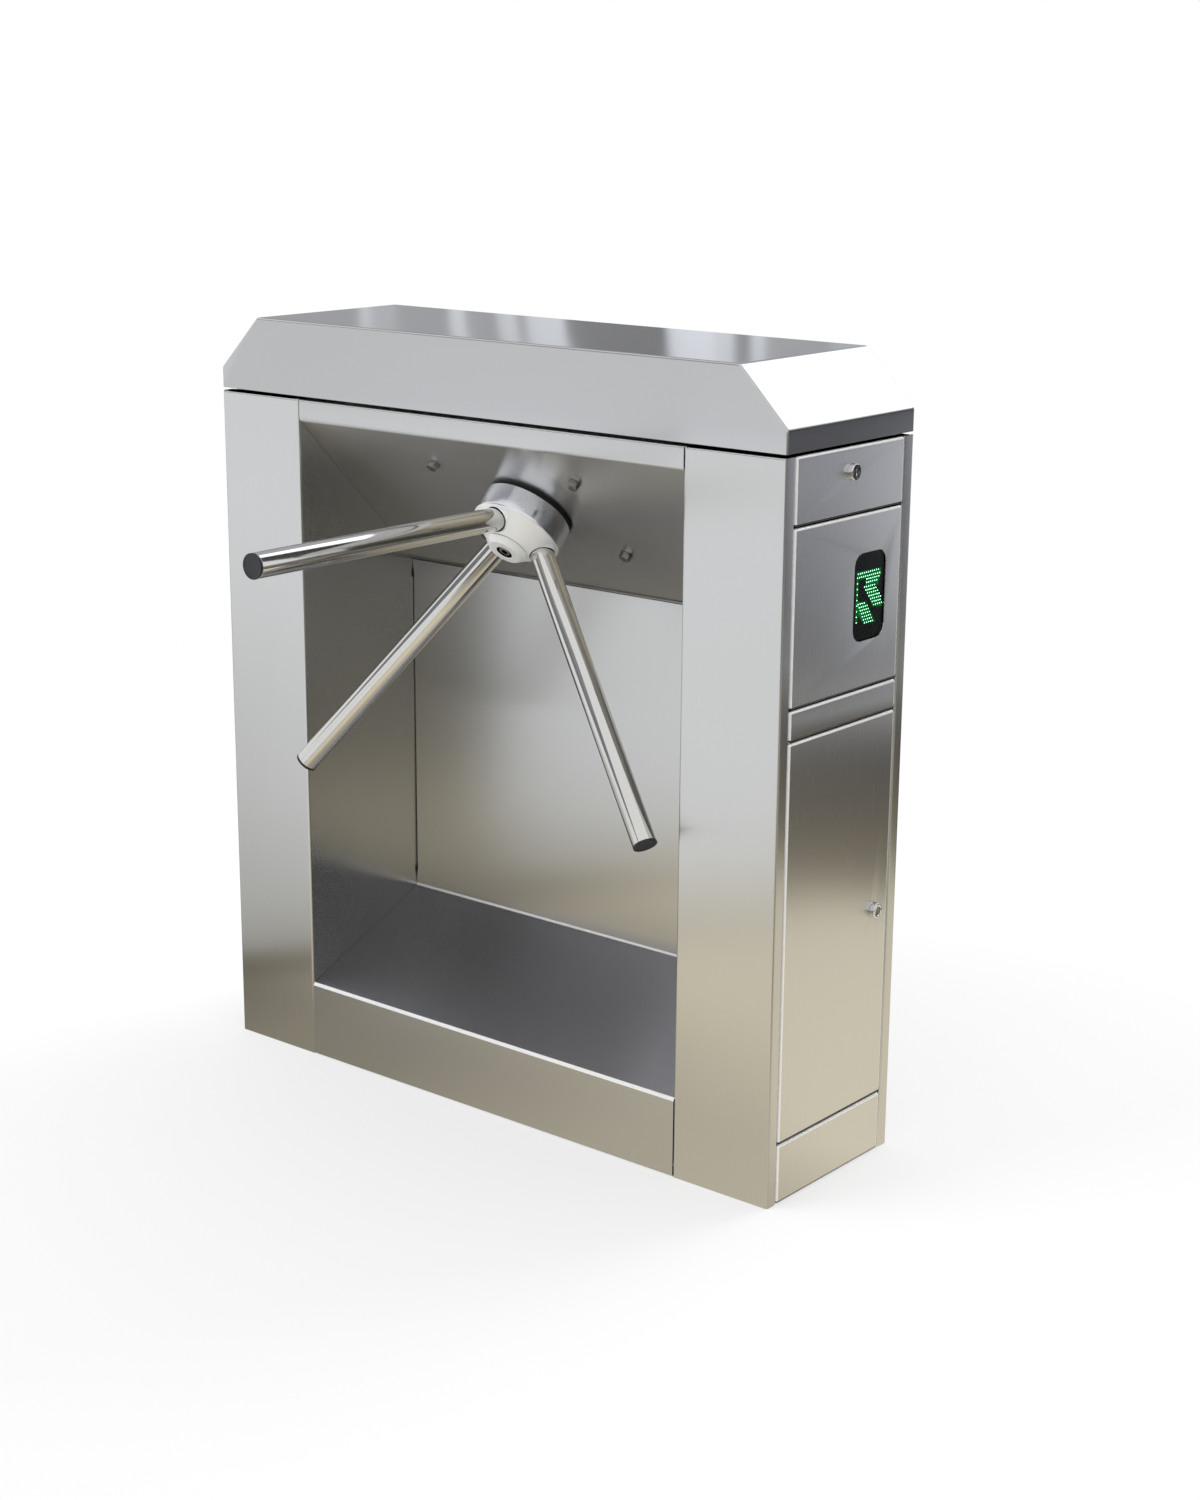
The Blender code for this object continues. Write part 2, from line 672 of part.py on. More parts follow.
def make_keeper(side):
    """A hooked strap inside the lid, with its foot just under the path of the lock's cam."""
    strap_x = END_X + CAM_FACE - CAM_THICKNESS - 2 * KEEPER_SHEET
    foot_top = LID_LOCK_Z - CAM_WIDTH / 2 - KEEPER_PLAY
    far_y = CAM_LENGTH + KEEPER_PAST_CAM
    near_y = far_y - KEEPER_WIDTH
    tab_z = LID_BOTTOM + KEEPER_ABOVE_LID_EDGE
    spans = {
        "strap": ((strap_x, foot_top - KEEPER_SHEET), (strap_x + KEEPER_SHEET, tab_z + KEEPER_SHEET)),
        "foot": ((strap_x, foot_top - KEEPER_SHEET), (END_X + CAM_FACE, foot_top)),
        "tab": ((strap_x, tab_z), (END_X - SHEET / 2, tab_z + KEEPER_SHEET)),
    }
    return [box(f"keeper {key} {side}", (side * low[0], near_y, low[1]), (side * high[0], far_y, high[1]))
            for key, (low, high) in spans.items()]


# End panels

def make_kick_plate(name, side):
    kick = tray(name, side, 0, KICK_HEIGHT)
    return cut(kick, pivot_hole(name, side, KICK_HEIGHT))


def make_rail(name, side):
    rail = tray(name, side, RAIL_BOTTOM, RAIL_BOTTOM + RAIL_HEIGHT)
    return cut(rail, pivot_hole(name, side, RAIL_BOTTOM))


def pivot_hole(name, side, height):
    hole = rod(name + " pivot hole", PIVOT_RADIUS + PIVOT_PLAY, -2 * SHEET, 2 * SHEET, sides=HOLE_ROUND)
    hole.location = (side * PIVOT_X, PIVOT_Y, height)
    return hole


def make_door(name, side):
    """A door with a pivot stud at its foot and head."""
    door = tray(name, side, DOOR_BOTTOM, DOOR_TOP, depth=DOOR_DEPTH)
    reach = PIVOT_REACH
    for end, low, high in (("foot", DOOR_BOTTOM - reach, DOOR_BOTTOM + SHEET / 2),
                           ("head", DOOR_TOP - SHEET / 2, DOOR_TOP + reach)):
        stud = rod(f"{name} {end} stud", PIVOT_RADIUS, low, high, sides=HOLE_ROUND)
        stud.location = (side * PIVOT_X, PIVOT_Y, 0)
        join(door, stud)
    hole = lock_hole(name, side, DOOR_LOCK_Y, DOOR_LOCK_Z)
    frame = make_frame(name + "_axis", (side * PIVOT_X, PIVOT_Y, DOOR_BOTTOM))
    return carry(frame, cut(door, hole))


def make_display_panel(name, side):
    panel = tray(name, side, DISPLAY_BOTTOM, DISPLAY_BOTTOM + DISPLAY_HEIGHT)
    window = plate(name + " window", [rounded_rectangle(WINDOW_HEIGHT, WINDOW_WIDTH, WINDOW_RADIUS)],
                   -2 * SHEET, 2 * SHEET)
    return cut(panel, hang(window_frame(name, side), window))


def window_frame(name, side):
    """A frame in the middle of the window, its X up and its Z out of the cabinet's end."""
    return make_frame(name + "_frame", (side * END_X, WINDOW_Y, WINDOW_Z), (0, 0, 1), (side, 0, 0))


def make_display(side, word):
    """The smoked lens and, behind it, the board with its block of lamps."""
    front = -(SHEET + FIT)
    back = front - LENS_THICKNESS
    size = (WINDOW_HEIGHT + 2 * LENS_MARGIN, WINDOW_WIDTH + 2 * LENS_MARGIN)
    lens = plate("display_lens_" + word, [rounded_rectangle(*size, WINDOW_RADIUS)], back, front,
                 "smoked acrylic")
    block_front = back - FIT
    block_back = block_front - LED_BLOCK_DEPTH
    half = (WINDOW_HEIGHT / 2 - BEND, WINDOW_WIDTH / 2 - BEND)
    board = box("display_board_" + word, (-half[0] - BOARD_MARGIN, -half[1] - BOARD_MARGIN,
                                          block_back - BOARD_THICKNESS),
                (half[0] + BOARD_MARGIN, half[1] + BOARD_MARGIN, block_back), "green board")
    block = box("lamp block " + word, (-half[0], -half[1], block_back - BOARD_THICKNESS / 2),
                (half[0], half[1], block_front))
    depth, length, width = PLUG_BLOCK
    plug = box("plug block " + word, (-length / 2, -width / 2, block_back - BOARD_THICKNESS - depth),
               (length / 2, width / 2, block_back - BOARD_THICKNESS / 2))
    hang(window_frame("display_" + word, side), lens, board, block, plug)
    return join(board, block, plug)


def make_lock_panel(name, side):
    panel = tray(name, side, LOCK_PANEL_BOTTOM, BODY_TOP)
    return cut(panel, lock_hole(name, side, 0, LID_LOCK_Z))


# Cam locks

def lock_hole(name, side, y, z):
    low, high = sorted((side * (END_X - 3 * SHEET), side * (END_X + 3 * SHEET)))
    return rod_along_x(name + " lock hole", LOCK_BARREL_RADIUS + FIT, low, high, (y, z))


def make_lock(name, side, y, z, cam_up):
    """A cam lock: its body in the panel and its plug, which turns, with the cam behind."""
    frame = make_frame(name + "_axis", (side * END_X, y, z), (0, 0, 1), (side, 0, 0))
    face = FIT + LOCK_HEAD_LENGTH
    inner = CAM_FACE + FIT
    bore = LOCK_PLUG_RADIUS + FIT
    body = turned(name + "_body", [
        (bore, face), (LOCK_HEAD_RADIUS - LOCK_EDGE, face), (LOCK_HEAD_RADIUS, face - LOCK_EDGE),
        (LOCK_HEAD_RADIUS, FIT), (LOCK_BARREL_RADIUS, FIT), (LOCK_BARREL_RADIUS, inner), (bore, inner),
    ], "bright zinc", steps=SMALL_ROUND, ring=True)
    nut_face = -(SHEET + FIT)
    nut = rod(name + " nut", LOCK_NUT_RADIUS, nut_face - LOCK_NUT_LENGTH, nut_face, sides=HEXAGON)
    nut_bore = rod(name + " nut bore", bore + FIT, nut_face - 2 * LOCK_NUT_LENGTH, 0)
    cut(nut, nut_bore)
    join(body, nut)
    back = CAM_FACE - CAM_THICKNESS
    plug = rod(name + "_cam", LOCK_PLUG_RADIUS, back, face - FIT, "plain steel")
    low, high = (-CAM_WIDTH / 2, CAM_LENGTH) if cam_up else (-CAM_LENGTH, CAM_WIDTH / 2)
    outline = rounded_rectangle(CAM_WIDTH + CAM_LENGTH - CAM_WIDTH / 2, CAM_WIDTH, CAM_WIDTH / 2 - FIT,
                                ((low + high) / 2, 0))
    cam = plate(name + " cam", [outline], back - FIT, CAM_FACE)
    slot_width, slot_length, slot_depth = KEY_SLOT
    slot = box(name + " key slot", (-slot_length / 2, -slot_width / 2, face - slot_depth),
               (slot_length / 2, slot_width / 2, face + SHEET))
    hang(frame, body, nut, nut_bore, plug, cam, slot)
    cut(join(plug, cam), slot)
    return body


# Lid hinges

def knuckle(name, low, high, radius):
    part = rod(name, radius, low, high, sides=HOLE_ROUND)
    part.location = (0, HINGE_Y, HINGE_Z)
    part.rotation_euler = (0, math.pi / 2, 0)
    return part


def make_hinge(word, side, lid_frame):
    """A butt hinge: one leaf on the back panel with the pin, one leaf on the lid."""
    centre = side * (END_X - HINGE_FROM_END)
    end = HINGE_LENGTH / 2
    inner = HINGE_LENGTH / 6
    near_y = BACK_Y + FIT
    far_y = near_y + HINGE_LEAF
    clear = HINGE_KNUCKLE_RADIUS + 2 * FIT
    leaf_z = HINGE_Z - HINGE_LEAF_HEIGHT
    fixed = box(f"lid_hinge_{word}_fixed", (centre - end, near_y, leaf_z),
                (centre + end, far_y, HINGE_Z - clear), "polished steel")
    riser = box(f"hinge {word} fixed riser", (centre - inner, near_y, HINGE_Z - 2 * clear),
                (centre + inner, far_y, HINGE_Z))
    barrel = knuckle(f"hinge {word} fixed barrel", centre - inner, centre + inner, HINGE_KNUCKLE_RADIUS)
    pin = knuckle(f"hinge {word} pin", centre - end + FIT, centre + end - FIT, HINGE_PIN_RADIUS)
    join(fixed, riser, barrel, pin)
    moving = box(f"lid_hinge_{word}_moving", (centre - end, near_y, HINGE_Z + clear),
                 (centre + end, far_y, HINGE_Z + HINGE_LEAF_HEIGHT), "polished steel")
    for step in (1, -1):
        low, high = sorted((centre + step * (inner + FIT), centre + step * end))
        tab = box(f"hinge {word} moving riser {step}", (low, near_y, HINGE_Z),
                  (high, far_y, HINGE_Z + 2 * clear))
        ring = knuckle(f"hinge {word} moving barrel {step}", low, high, HINGE_KNUCKLE_RADIUS)
        join(moving, tab, ring)
    bore = knuckle(f"hinge {word} moving bore", centre - end - SHEET, centre + end + SHEET,
                   HINGE_PIN_RADIUS + FIT)
    carry(lid_frame, cut(moving, bore))


# Hub and arms, on the frame whose Z is the hub's axis

HUB_FRAME = make_frame("hub_axis", HUB_CENTRE, (1, 0, 0), AXIS)


def make_hub():
    """The cast head: a cylinder and a cone with three slanting sockets."""
    bore = SHAFT_RADIUS + FIT
    seat = CAP_SPIGOT_RADIUS + FIT
    seat_floor = HUB_TOP - CAP_SPIGOT_LENGTH
    edge = HUB_EDGE
    hub = turned("hub", [
        (seat, HUB_TOP), (CAP_RADIUS + edge / 2, HUB_TOP), (HUB_RADIUS - edge, HUB_SHOULDER + edge),
        (HUB_RADIUS, HUB_SHOULDER), (HUB_RADIUS, HUB_GAP + edge), (HUB_RADIUS - edge, HUB_GAP),
        (bore, HUB_GAP), (bore, seat_floor), (seat, seat_floor),
    ], "satin aluminium", steps=FINE_ROUND, ring=True)
    hang(HUB_FRAME, hub)
    for number in range(1, ARM_COUNT + 1):
        socket = rod(f"arm socket {number}", ARM_RADIUS + FIT, ARM_ROOT, ARM_ROOT + 2 * HUB_RADIUS,
                     sides=ROUND)
        cut(hub, hang(arm_frame(f"arm_{number}_socket", number), socket))
    return hub


def arm_frame(name, number):
    """A frame along one arm. The first arm points up the panel, so it lies level."""
    turn = math.pi / 2 + (number - 1) * 2 * math.pi / ARM_COUNT
    frame = bpy.data.objects.new(name, None)
    PARTS.objects.link(frame)
    frame.parent = HUB_FRAME
    frame.location = (0, 0, ARMS_MEET)
    frame.rotation_euler = (0, AXIS_DIP, turn)
    return frame


def make_hub_cap():
    low = HUB_TOP + FIT
    top = low + CAP_HEIGHT
    floor = top - COUNTERBORE_DEPTH
    screw_top = floor + SCREW_HEAD_HEIGHT
    edge = HUB_EDGE
    cap = turned("hub_cap", [
        (0, floor + edge), (SCREW_SOCKET_RADIUS, floor + edge), (SCREW_SOCKET_RADIUS, screw_top),
        (SCREW_HEAD_RADIUS, screw_top), (SCREW_HEAD_RADIUS, floor), (COUNTERBORE_RADIUS, floor),
        (COUNTERBORE_RADIUS, top), (CAP_FACE_RADIUS - edge, top), (CAP_FACE_RADIUS, top - edge / 2),
        (CAP_RADIUS - edge / 2, low + 2 * edge), (CAP_RADIUS, low + edge), (CAP_RADIUS, low),
        (CAP_SPIGOT_RADIUS, low), (CAP_SPIGOT_RADIUS, low - CAP_SPIGOT_LENGTH),
        (0, low - CAP_SPIGOT_LENGTH),
    ], "satin aluminium")
    return hang(HUB_FRAME, cap)


def make_arm(number):
    """A tube and the plastic cap pressed into its end."""
    frame = arm_frame(f"arm_{number}_axis", number)
    low = ARM_ROOT + FIT
    high = ARM_REACH - ARM_CAP - FIT
    inner = ARM_RADIUS - ARM_WALL
    tube = turned(f"arm_{number}", [(ARM_RADIUS, high), (ARM_RADIUS, low), (inner, low), (inner, high)],
                  "polished steel", ring=True)
    edge = ARM_CAP_EDGE
    plug = inner - FIT
    cap = turned(f"arm_cap_{number}", [
        (0, ARM_REACH), (ARM_RADIUS - edge, ARM_REACH), (ARM_RADIUS, ARM_REACH - edge),
        (ARM_RADIUS, ARM_REACH - ARM_CAP), (plug, ARM_REACH - ARM_CAP), (plug, high - ARM_CAP_PLUG),
        (0, high - ARM_CAP_PLUG),
    ], "black plastic")
    return hang(frame, tube, cap)


# Drive, in the same frame: heights below zero lie inside the cabinet

def bolt_places():
    half_x, half_y = BOLT_SPACING_X / 2, BOLT_SPACING_Y / 2
    return [(half_x, half_y), (-half_x, half_y), (-half_x, -half_y), (half_x, -half_y)]


def make_mounting_plate():
    outlines = [rounded_rectangle(PLATE_LENGTH, PLATE_HEIGHT, PLATE_CORNER)]
    outlines.append(circle(SPIGOT_RADIUS + FIT, ROUND))
    outlines += [circle(BOLT_RADIUS + BOLT_PLAY, HOLE_ROUND, at) for at in bolt_places()]
    return hang(HUB_FRAME, plate("mounting_plate", outlines, PLATE_BACK, PLATE_FACE, "plain steel"))


def make_panel_bolt(number, at):
    """A hexagon bolt with its washer outside and its nut inside."""
    hexagon = BOLT_HEX / math.sqrt(3)
    washer_top = FIT + WASHER_THICKNESS
    nut_face = PLATE_BACK - FIT
    nut_back = nut_face - NUT_HEIGHT
    bolt = rod(f"panel_bolt_{number}", BOLT_RADIUS, nut_back - BOLT_TAIL, washer_top, "bright zinc",
               sides=HOLE_ROUND, at=at)
    washer = rod(f"bolt {number} washer", WASHER_RADIUS, FIT, washer_top, at=at)
    head = rod(f"bolt {number} head", hexagon, washer_top - FIT, washer_top + BOLT_HEAD, sides=HEXAGON,
               at=at)
    nut = rod(f"bolt {number} nut", hexagon, nut_back, nut_face, sides=HEXAGON, at=at)
    hang(HUB_FRAME, bolt, washer, head, nut)
    return join(bolt, washer, head, nut)


def make_bearing_housing():
    seat = BEARING_RADIUS + FIT
    shoulder = BEARING_RADIUS - SHOULDER_HEIGHT
    housing = turned("bearing_housing", [
        (seat, -FIT), (SPIGOT_RADIUS, -FIT), (SPIGOT_RADIUS, HOUSING_FACE),
        (HOUSING_FLANGE_RADIUS, HOUSING_FACE), (HOUSING_FLANGE_RADIUS, FLANGE_BACK),
        (HOUSING_RADIUS, FLANGE_BACK), (HOUSING_RADIUS, HOUSING_BACK), (seat, HOUSING_BACK),
        (seat, REAR_SHOULDER), (shoulder, REAR_SHOULDER), (shoulder, FRONT_SHOULDER),
        (seat, FRONT_SHOULDER),
    ], "cast iron", ring=True)
    return hang(HUB_FRAME, housing)


def make_bearing(name, high):
    """A sealed ball bearing, its seals set back between the rings."""
    low = high - BEARING_WIDTH
    bore = SHAFT_RADIUS + FIT
    ring, recess = BEARING_RING, SEAL_DEPTH
    bearing = turned(name, [
        (BEARING_RADIUS - ring, high - recess), (BEARING_RADIUS - ring, high), (BEARING_RADIUS, high),
        (BEARING_RADIUS, low), (bore, low), (bore, high), (bore + ring, high), (bore + ring, high - recess),
    ], "polished steel", steps=ROUND, ring=True)
    return hang(HUB_FRAME, bearing)


def make_main_shaft():
    collar_top = HUB_GAP - FIT
    collar_low = -BEARING_INSET + FIT
    step = REAR_SHOULDER - BEARING_WIDTH - TAIL_STEP
    top = HUB_TOP - CAP_SPIGOT_LENGTH - FIT
    shaft = turned("main_shaft", [
        (0, top), (SHAFT_RADIUS, top), (SHAFT_RADIUS, collar_top), (COLLAR_RADIUS, collar_top),
        (COLLAR_RADIUS, collar_low), (SHAFT_RADIUS, collar_low), (SHAFT_RADIUS, step), (TAIL_RADIUS, step),
        (TAIL_RADIUS, TAIL_END), (0, TAIL_END),
    ], "plain steel", steps=ROUND)
    return hang(HUB_FRAME, shaft)


def make_brake():
    """The brake's fixed coil and the toothed rotor on the shaft in front of the gear."""
    bore = TAIL_RADIUS + BRAKE_BORE_PLAY
    outer, inner = BRAKE_RADIUS - BRAKE_POLE, bore + BRAKE_POLE
    coil = turned("brake_coil", [
        (bore, BRAKE_FACE), (BRAKE_RADIUS, BRAKE_FACE), (BRAKE_RADIUS, BRAKE_BACK),
        (outer, BRAKE_BACK), (outer, BRAKE_BACK + BRAKE_GROOVE), (inner, BRAKE_BACK + BRAKE_GROOVE),
        (inner, BRAKE_BACK), (bore, BRAKE_BACK),
    ], "black steel", steps=ROUND, ring=True)
    rotor = plate("brake_rotor", [notched_outline(ROTOR_RADIUS, ROTOR_TOOTH, ROTOR_TEETH),
                                  circle(TAIL_RADIUS + FIT, ROUND)], ROTOR_BACK, ROTOR_FACE, "plain steel")
    return hang(HUB_FRAME, coil, rotor)


def notched_outline(radius, depth, count):
    """Square teeth round a disc."""
    points = []
    for i in range(count):
        for share, r in ((-0.25, radius - depth), (-0.2, radius), (0.2, radius), (0.25, radius - depth)):
            angle = (i + share) * 2 * math.pi / count
            points.append((r * math.cos(angle), r * math.sin(angle)))
    return points


def involute(angle):
    return math.tan(angle) - angle


def gear_outline(teeth, flank_steps, phase=0.0):
    """A spur gear's outline with involute flanks, thinned by half the backlash."""
    pitch = GEAR_MODULE * teeth / 2
    base = pitch * math.cos(PRESSURE_ANGLE)
    root = pitch - 1.25 * GEAR_MODULE
    tip = pitch + 0.9 * GEAR_MODULE
    start = max(root, base)
    half = math.pi / (2 * teeth) - BACKLASH / (4 * pitch) + involute(PRESSURE_ANGLE)
    radii = [start + (tip - start) * i / flank_steps for i in range(flank_steps + 1)]
    flank = [(r, half - involute(math.acos(min(1, base / r)))) for r in radii]
    if root < base:
        flank.insert(0, (root, flank[0][1]))
    points = []
    for tooth in range(teeth):
        middle = phase + tooth * 2 * math.pi / teeth
        for r, turn in [(r, -turn) for r, turn in flank] + flank[::-1]:
            points.append((r * math.cos(middle + turn), r * math.sin(middle + turn)))
    return points


def make_main_gear():
    gear = plate("main_gear", [gear_outline(GEAR_TEETH, 1)], GEAR_BACK, GEAR_FACE, "plain steel")
    boss = rod("gear boss", GEAR_BOSS_RADIUS, GEAR_BACK - GEAR_BOSS_LENGTH, (GEAR_BACK + GEAR_FACE) / 2)
    bore = rod("gear bore", TAIL_RADIUS + FIT, TAIL_END, 0, sides=ROUND)
    hang(HUB_FRAME, gear, boss, bore)
    return cut(join(gear, boss), bore)


def make_encoder_disc():
    step = 2 * math.pi / DISC_SLOTS
    inner, outer = (DISC_RADIUS * share for share in DISC_SLOT_RING)
    half = DISC_SLOT_SHARE / 2
    outlines = [circle(DISC_RADIUS, ROUND), circle(TAIL_RADIUS + FIT, ROUND)]
    for i in range(DISC_SLOTS):
        corners = ((inner, -half), (outer, -half), (outer, half), (inner, half))
        outlines.append([(r * math.cos((i + a) * step), r * math.sin((i + a) * step)) for r, a in corners])
    return hang(HUB_FRAME, plate("encoder_disc", outlines, DISC_BACK, DISC_FACE, "black steel"))


def make_motor():
    """The gear motor on the mounting plate and its pinion."""
    frame = bpy.data.objects.new("pinion_axis", None)
    PARTS.objects.link(frame)
    frame.parent = HUB_FRAME
    frame.location = (MOTOR_X, 0, 0)
    waist = MOTOR_RADIUS - MOTOR_WAIST
    middle = (HOUSING_FACE + MOTOR_END) / 2
    foot = HOUSING_FACE - MOTOR_FOOT
    bore = MOTOR_SHAFT_RADIUS + FIT
    motor = turned("gear_motor", [
        (0, HOUSING_FACE), (MOTOR_FOOT_RADIUS, HOUSING_FACE), (MOTOR_FOOT_RADIUS, foot), (waist, foot),
        (waist, middle), (MOTOR_RADIUS, middle), (MOTOR_RADIUS, MOTOR_END), (bore, MOTOR_END),
        (bore, MOTOR_END + MOTOR_BORE), (0, MOTOR_END + MOTOR_BORE),
    ], "black steel", steps=ROUND)
    pinion = plate("motor_pinion", [gear_outline(PINION_TEETH, 1, math.pi / PINION_TEETH)], GEAR_BACK,
                   GEAR_FACE, "plain steel")
    spindle = rod("pinion spindle", MOTOR_SHAFT_RADIUS, GEAR_BACK - STAGE_GAP,
                  MOTOR_END + MOTOR_BORE - FIT)
    hang(frame, motor, pinion, spindle)
    return join(pinion, spindle)


def make_position_sensor():
    """A bracket on the mounting plate whose fork reads the slotted disc."""
    clear = GEAR_RADIUS + 2 * GEAR_MODULE
    inner = -(DISC_RADIUS - FORK_REACH)
    middle = (DISC_FACE + DISC_BACK) / 2
    half = FORK_WIDTH / 2
    low = middle - FORK_SLOT / 2 - FORK_THICKNESS
    high = middle + FORK_SLOT / 2 + FORK_THICKNESS
    root = -clear - FORK_THICKNESS / 2
    sensor = box("position_sensor", (-clear - FORK_THICKNESS, -half, low), (-clear, half, HOUSING_FACE),
                 "black plastic")
    foot = box("sensor foot", (-clear - 3 * FORK_THICKNESS, -half, HOUSING_FACE - FORK_FOOT),
               (root, half, HOUSING_FACE))
    fork = box("sensor fork", (root, -half, low), (inner, half, high))
    slot = box("sensor slot", (-DISC_RADIUS - FORK_PAST_DISC, -2 * half, middle - FORK_SLOT / 2),
               (inner + FORK_REACH, 2 * half, middle + FORK_SLOT / 2))
    hang(HUB_FRAME, sensor, foot, fork, slot)
    return cut(join(sensor, foot, fork), slot)


# Electronics

def make_control_board():
    """The board on four posts on the left side wall, inside the drive's bay."""
    width, height = CONTROL_BOARD_WIDTH, CONTROL_BOARD_HEIGHT
    wall_x = -INSIDE_X
    face_x = wall_x + POST_LENGTH
    low_y = CONTROL_BOARD_Y - width / 2
    top_z = BODY_TOP - CONTROL_BOARD_TOP_GAP
    low_z = top_z - height
    middle_x = face_x + BOARD_THICKNESS / 2
    high_y = low_y + width
    board = box("control_board", (face_x, low_y, low_z), (face_x + BOARD_THICKNESS, high_y, top_z),
                "green board")
    for y in (low_y + POST_INSET, high_y - POST_INSET):
        for z in (low_z + POST_INSET, top_z - POST_INSET):
            post = rod_along_x(f"board post {y:.3f} {z:.3f}", POST_RADIUS, wall_x, middle_x, (y, z),
                               sides=POST_ROUND)
            join(board, post)
    for name, (near, under, far, over, rise) in BOARD_BLOCKS.items():
        low = (middle_x, low_y + near * width, low_z + under * height)
        high = (middle_x + rise * width, low_y + far * width, low_z + over * height)
        join(board, box("board " + name, low, high))
    return board


def make_power_supply():
    """The supply on the right side wall, behind the right door."""
    depth, width, height = SUPPLY_SIZE
    near_x = CHEEK_X + SHEET + FIT
    low_z = SUPPLY_HEIGHT - height / 2
    supply = box("power_supply", (near_x, -width / 2, low_z), (near_x + depth, width / 2, low_z + height),
                 "satin aluminium")
    step_x = near_x + depth / 2
    step = box("supply terminal step", (step_x, -width, low_z - SHEET),
               (near_x + 2 * depth, width, low_z + SUPPLY_STEP))
    terminals = box("supply terminals", (step_x - FIT, -TERMINAL_WIDTH / 2, low_z + TERMINAL_MARGIN),
                    (step_x + TERMINAL_DEPTH, TERMINAL_WIDTH / 2, low_z + SUPPLY_STEP - TERMINAL_MARGIN))
    return join(cut(supply, step), terminals)


# Assembly

make_column("front_column_right", 1)
make_column("front_column_left", -1)
make_back_panel()
make_mechanism_panel()
make_niche_back_wall()
make_plinth_panel()
make_base_plate()

LID_FRAME = make_frame("lid_axis", (0, HINGE_Y, HINGE_Z))
carry(LID_FRAME, make_lid())

for WORD, SIDE in (("right", 1), ("left", -1)):
    make_kick_plate("kick_plate_" + WORD, SIDE)
    make_rail("end_rail_" + WORD, SIDE)
    make_door("door_" + WORD, SIDE)
    make_display_panel("display_panel_" + WORD, SIDE)
    make_display(SIDE, WORD)
    make_lock_panel("lock_panel_" + WORD, SIDE)
    make_lock("lid_lock_" + WORD, SIDE, 0, LID_LOCK_Z, cam_up=True)
    make_lock("door_lock_" + WORD, SIDE, DOOR_LOCK_Y, DOOR_LOCK_Z, cam_up=False)
    make_hinge(WORD, SIDE, LID_FRAME)

make_hub()
make_hub_cap()
for NUMBER in range(1, ARM_COUNT + 1):
    make_arm(NUMBER)

make_mounting_plate()
for NUMBER, PLACE in enumerate(bolt_places(), start=1):
    make_panel_bolt(NUMBER, PLACE)
make_bearing_housing()
make_bearing("front_bearing", -BEARING_INSET)
make_bearing("rear_bearing", REAR_SHOULDER - FIT)
make_main_shaft()
make_brake()
make_main_gear()
make_encoder_disc()
make_motor()
make_position_sensor()
make_control_board()
make_power_supply()
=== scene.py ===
# The tripod turnstile, dressed: brushed stainless cabinet, cast arm hub, polished arms, arrow lamps.
# Metres, +Z up, the niche and its arms towards -Y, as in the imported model.
import json
import math

import bmesh
import bpy
from mathutils import Matrix, Vector


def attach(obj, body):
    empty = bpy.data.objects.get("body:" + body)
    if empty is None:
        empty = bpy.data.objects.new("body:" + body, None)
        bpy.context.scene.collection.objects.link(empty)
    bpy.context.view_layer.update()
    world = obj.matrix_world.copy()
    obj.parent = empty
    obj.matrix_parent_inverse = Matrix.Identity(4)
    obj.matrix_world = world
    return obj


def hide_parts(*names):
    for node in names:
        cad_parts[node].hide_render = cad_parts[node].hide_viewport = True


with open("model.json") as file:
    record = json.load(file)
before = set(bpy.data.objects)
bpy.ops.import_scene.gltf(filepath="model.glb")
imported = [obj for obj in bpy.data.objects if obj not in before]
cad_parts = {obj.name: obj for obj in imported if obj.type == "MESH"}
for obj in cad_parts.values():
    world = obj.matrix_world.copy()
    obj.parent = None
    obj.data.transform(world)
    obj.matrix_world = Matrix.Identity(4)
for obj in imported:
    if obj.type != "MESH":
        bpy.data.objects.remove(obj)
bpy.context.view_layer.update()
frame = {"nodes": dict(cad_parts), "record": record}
NODES = frame["nodes"]
BODY_OF = {node: body for body, nodes in frame["record"]["behaviour"]["bodies"].items() for node in nodes}
SLOT_OF = {name: node.data.materials[0].name for name, node in NODES.items()}


# Sizes repeated from the part's source

CLEARANCE = 0.0003      # between a piece and what it stands against
END_X = 0.455
CHEEK_X = 0.312         # the niche's side walls
HUB_CENTRE = (0, -0.036369, 0.781869)
HUB_TILT = math.radians(45)
HUB_RADIUS = 0.059
HUB_GAP = 0.005
HUB_SHOULDER = 0.037
HUB_TOP = 0.060
HUB_BORE = 0.0128
HUB_EDGE = 0.0006       # chamfer at the hub's foot
HUB_ROUNDING = 0.003    # where its side turns to its cone
CAP_SEAT_RADIUS = 0.0228
CAP_SEAT_FLOOR = 0.054
CAP_RADIUS = 0.0285
CAP_FACE_RADIUS = 0.0215
CAP_LOW = 0.0603
CAP_TOP = 0.068
CAP_FLOOR = 0.064
CAP_SPIGOT_RADIUS = 0.0225
CAP_SPIGOT_END = 0.0543
CAP_PLAY = 0.0004
CAP_RIM = 0.0010        # upright edge below the cap's slope
CAP_ROUNDING = 0.0006
COUNTERBORE_RADIUS = 0.0105
SCREW_HEAD_RADIUS = 0.0074
SCREW_TOP = 0.0674
SCREW_SOCKET = 0.0042   # half, across the corners of its hexagon socket
SCREW_SOCKET_DEPTH = 0.0026
SEAL_BORE = 0.050
SEAL_RADIUS = 0.0562
SEAL_LOW = CLEARANCE
SEAL_TOP = 0.0026
ARMS_MEET = 0.006
ARM_RADIUS = 0.015
ARM_BORE = 0.0135
ARM_LOW = 0.0363
ARM_HIGH = 0.4637
ARM_REACH = 0.467
TUBE_EDGE = 0.0004
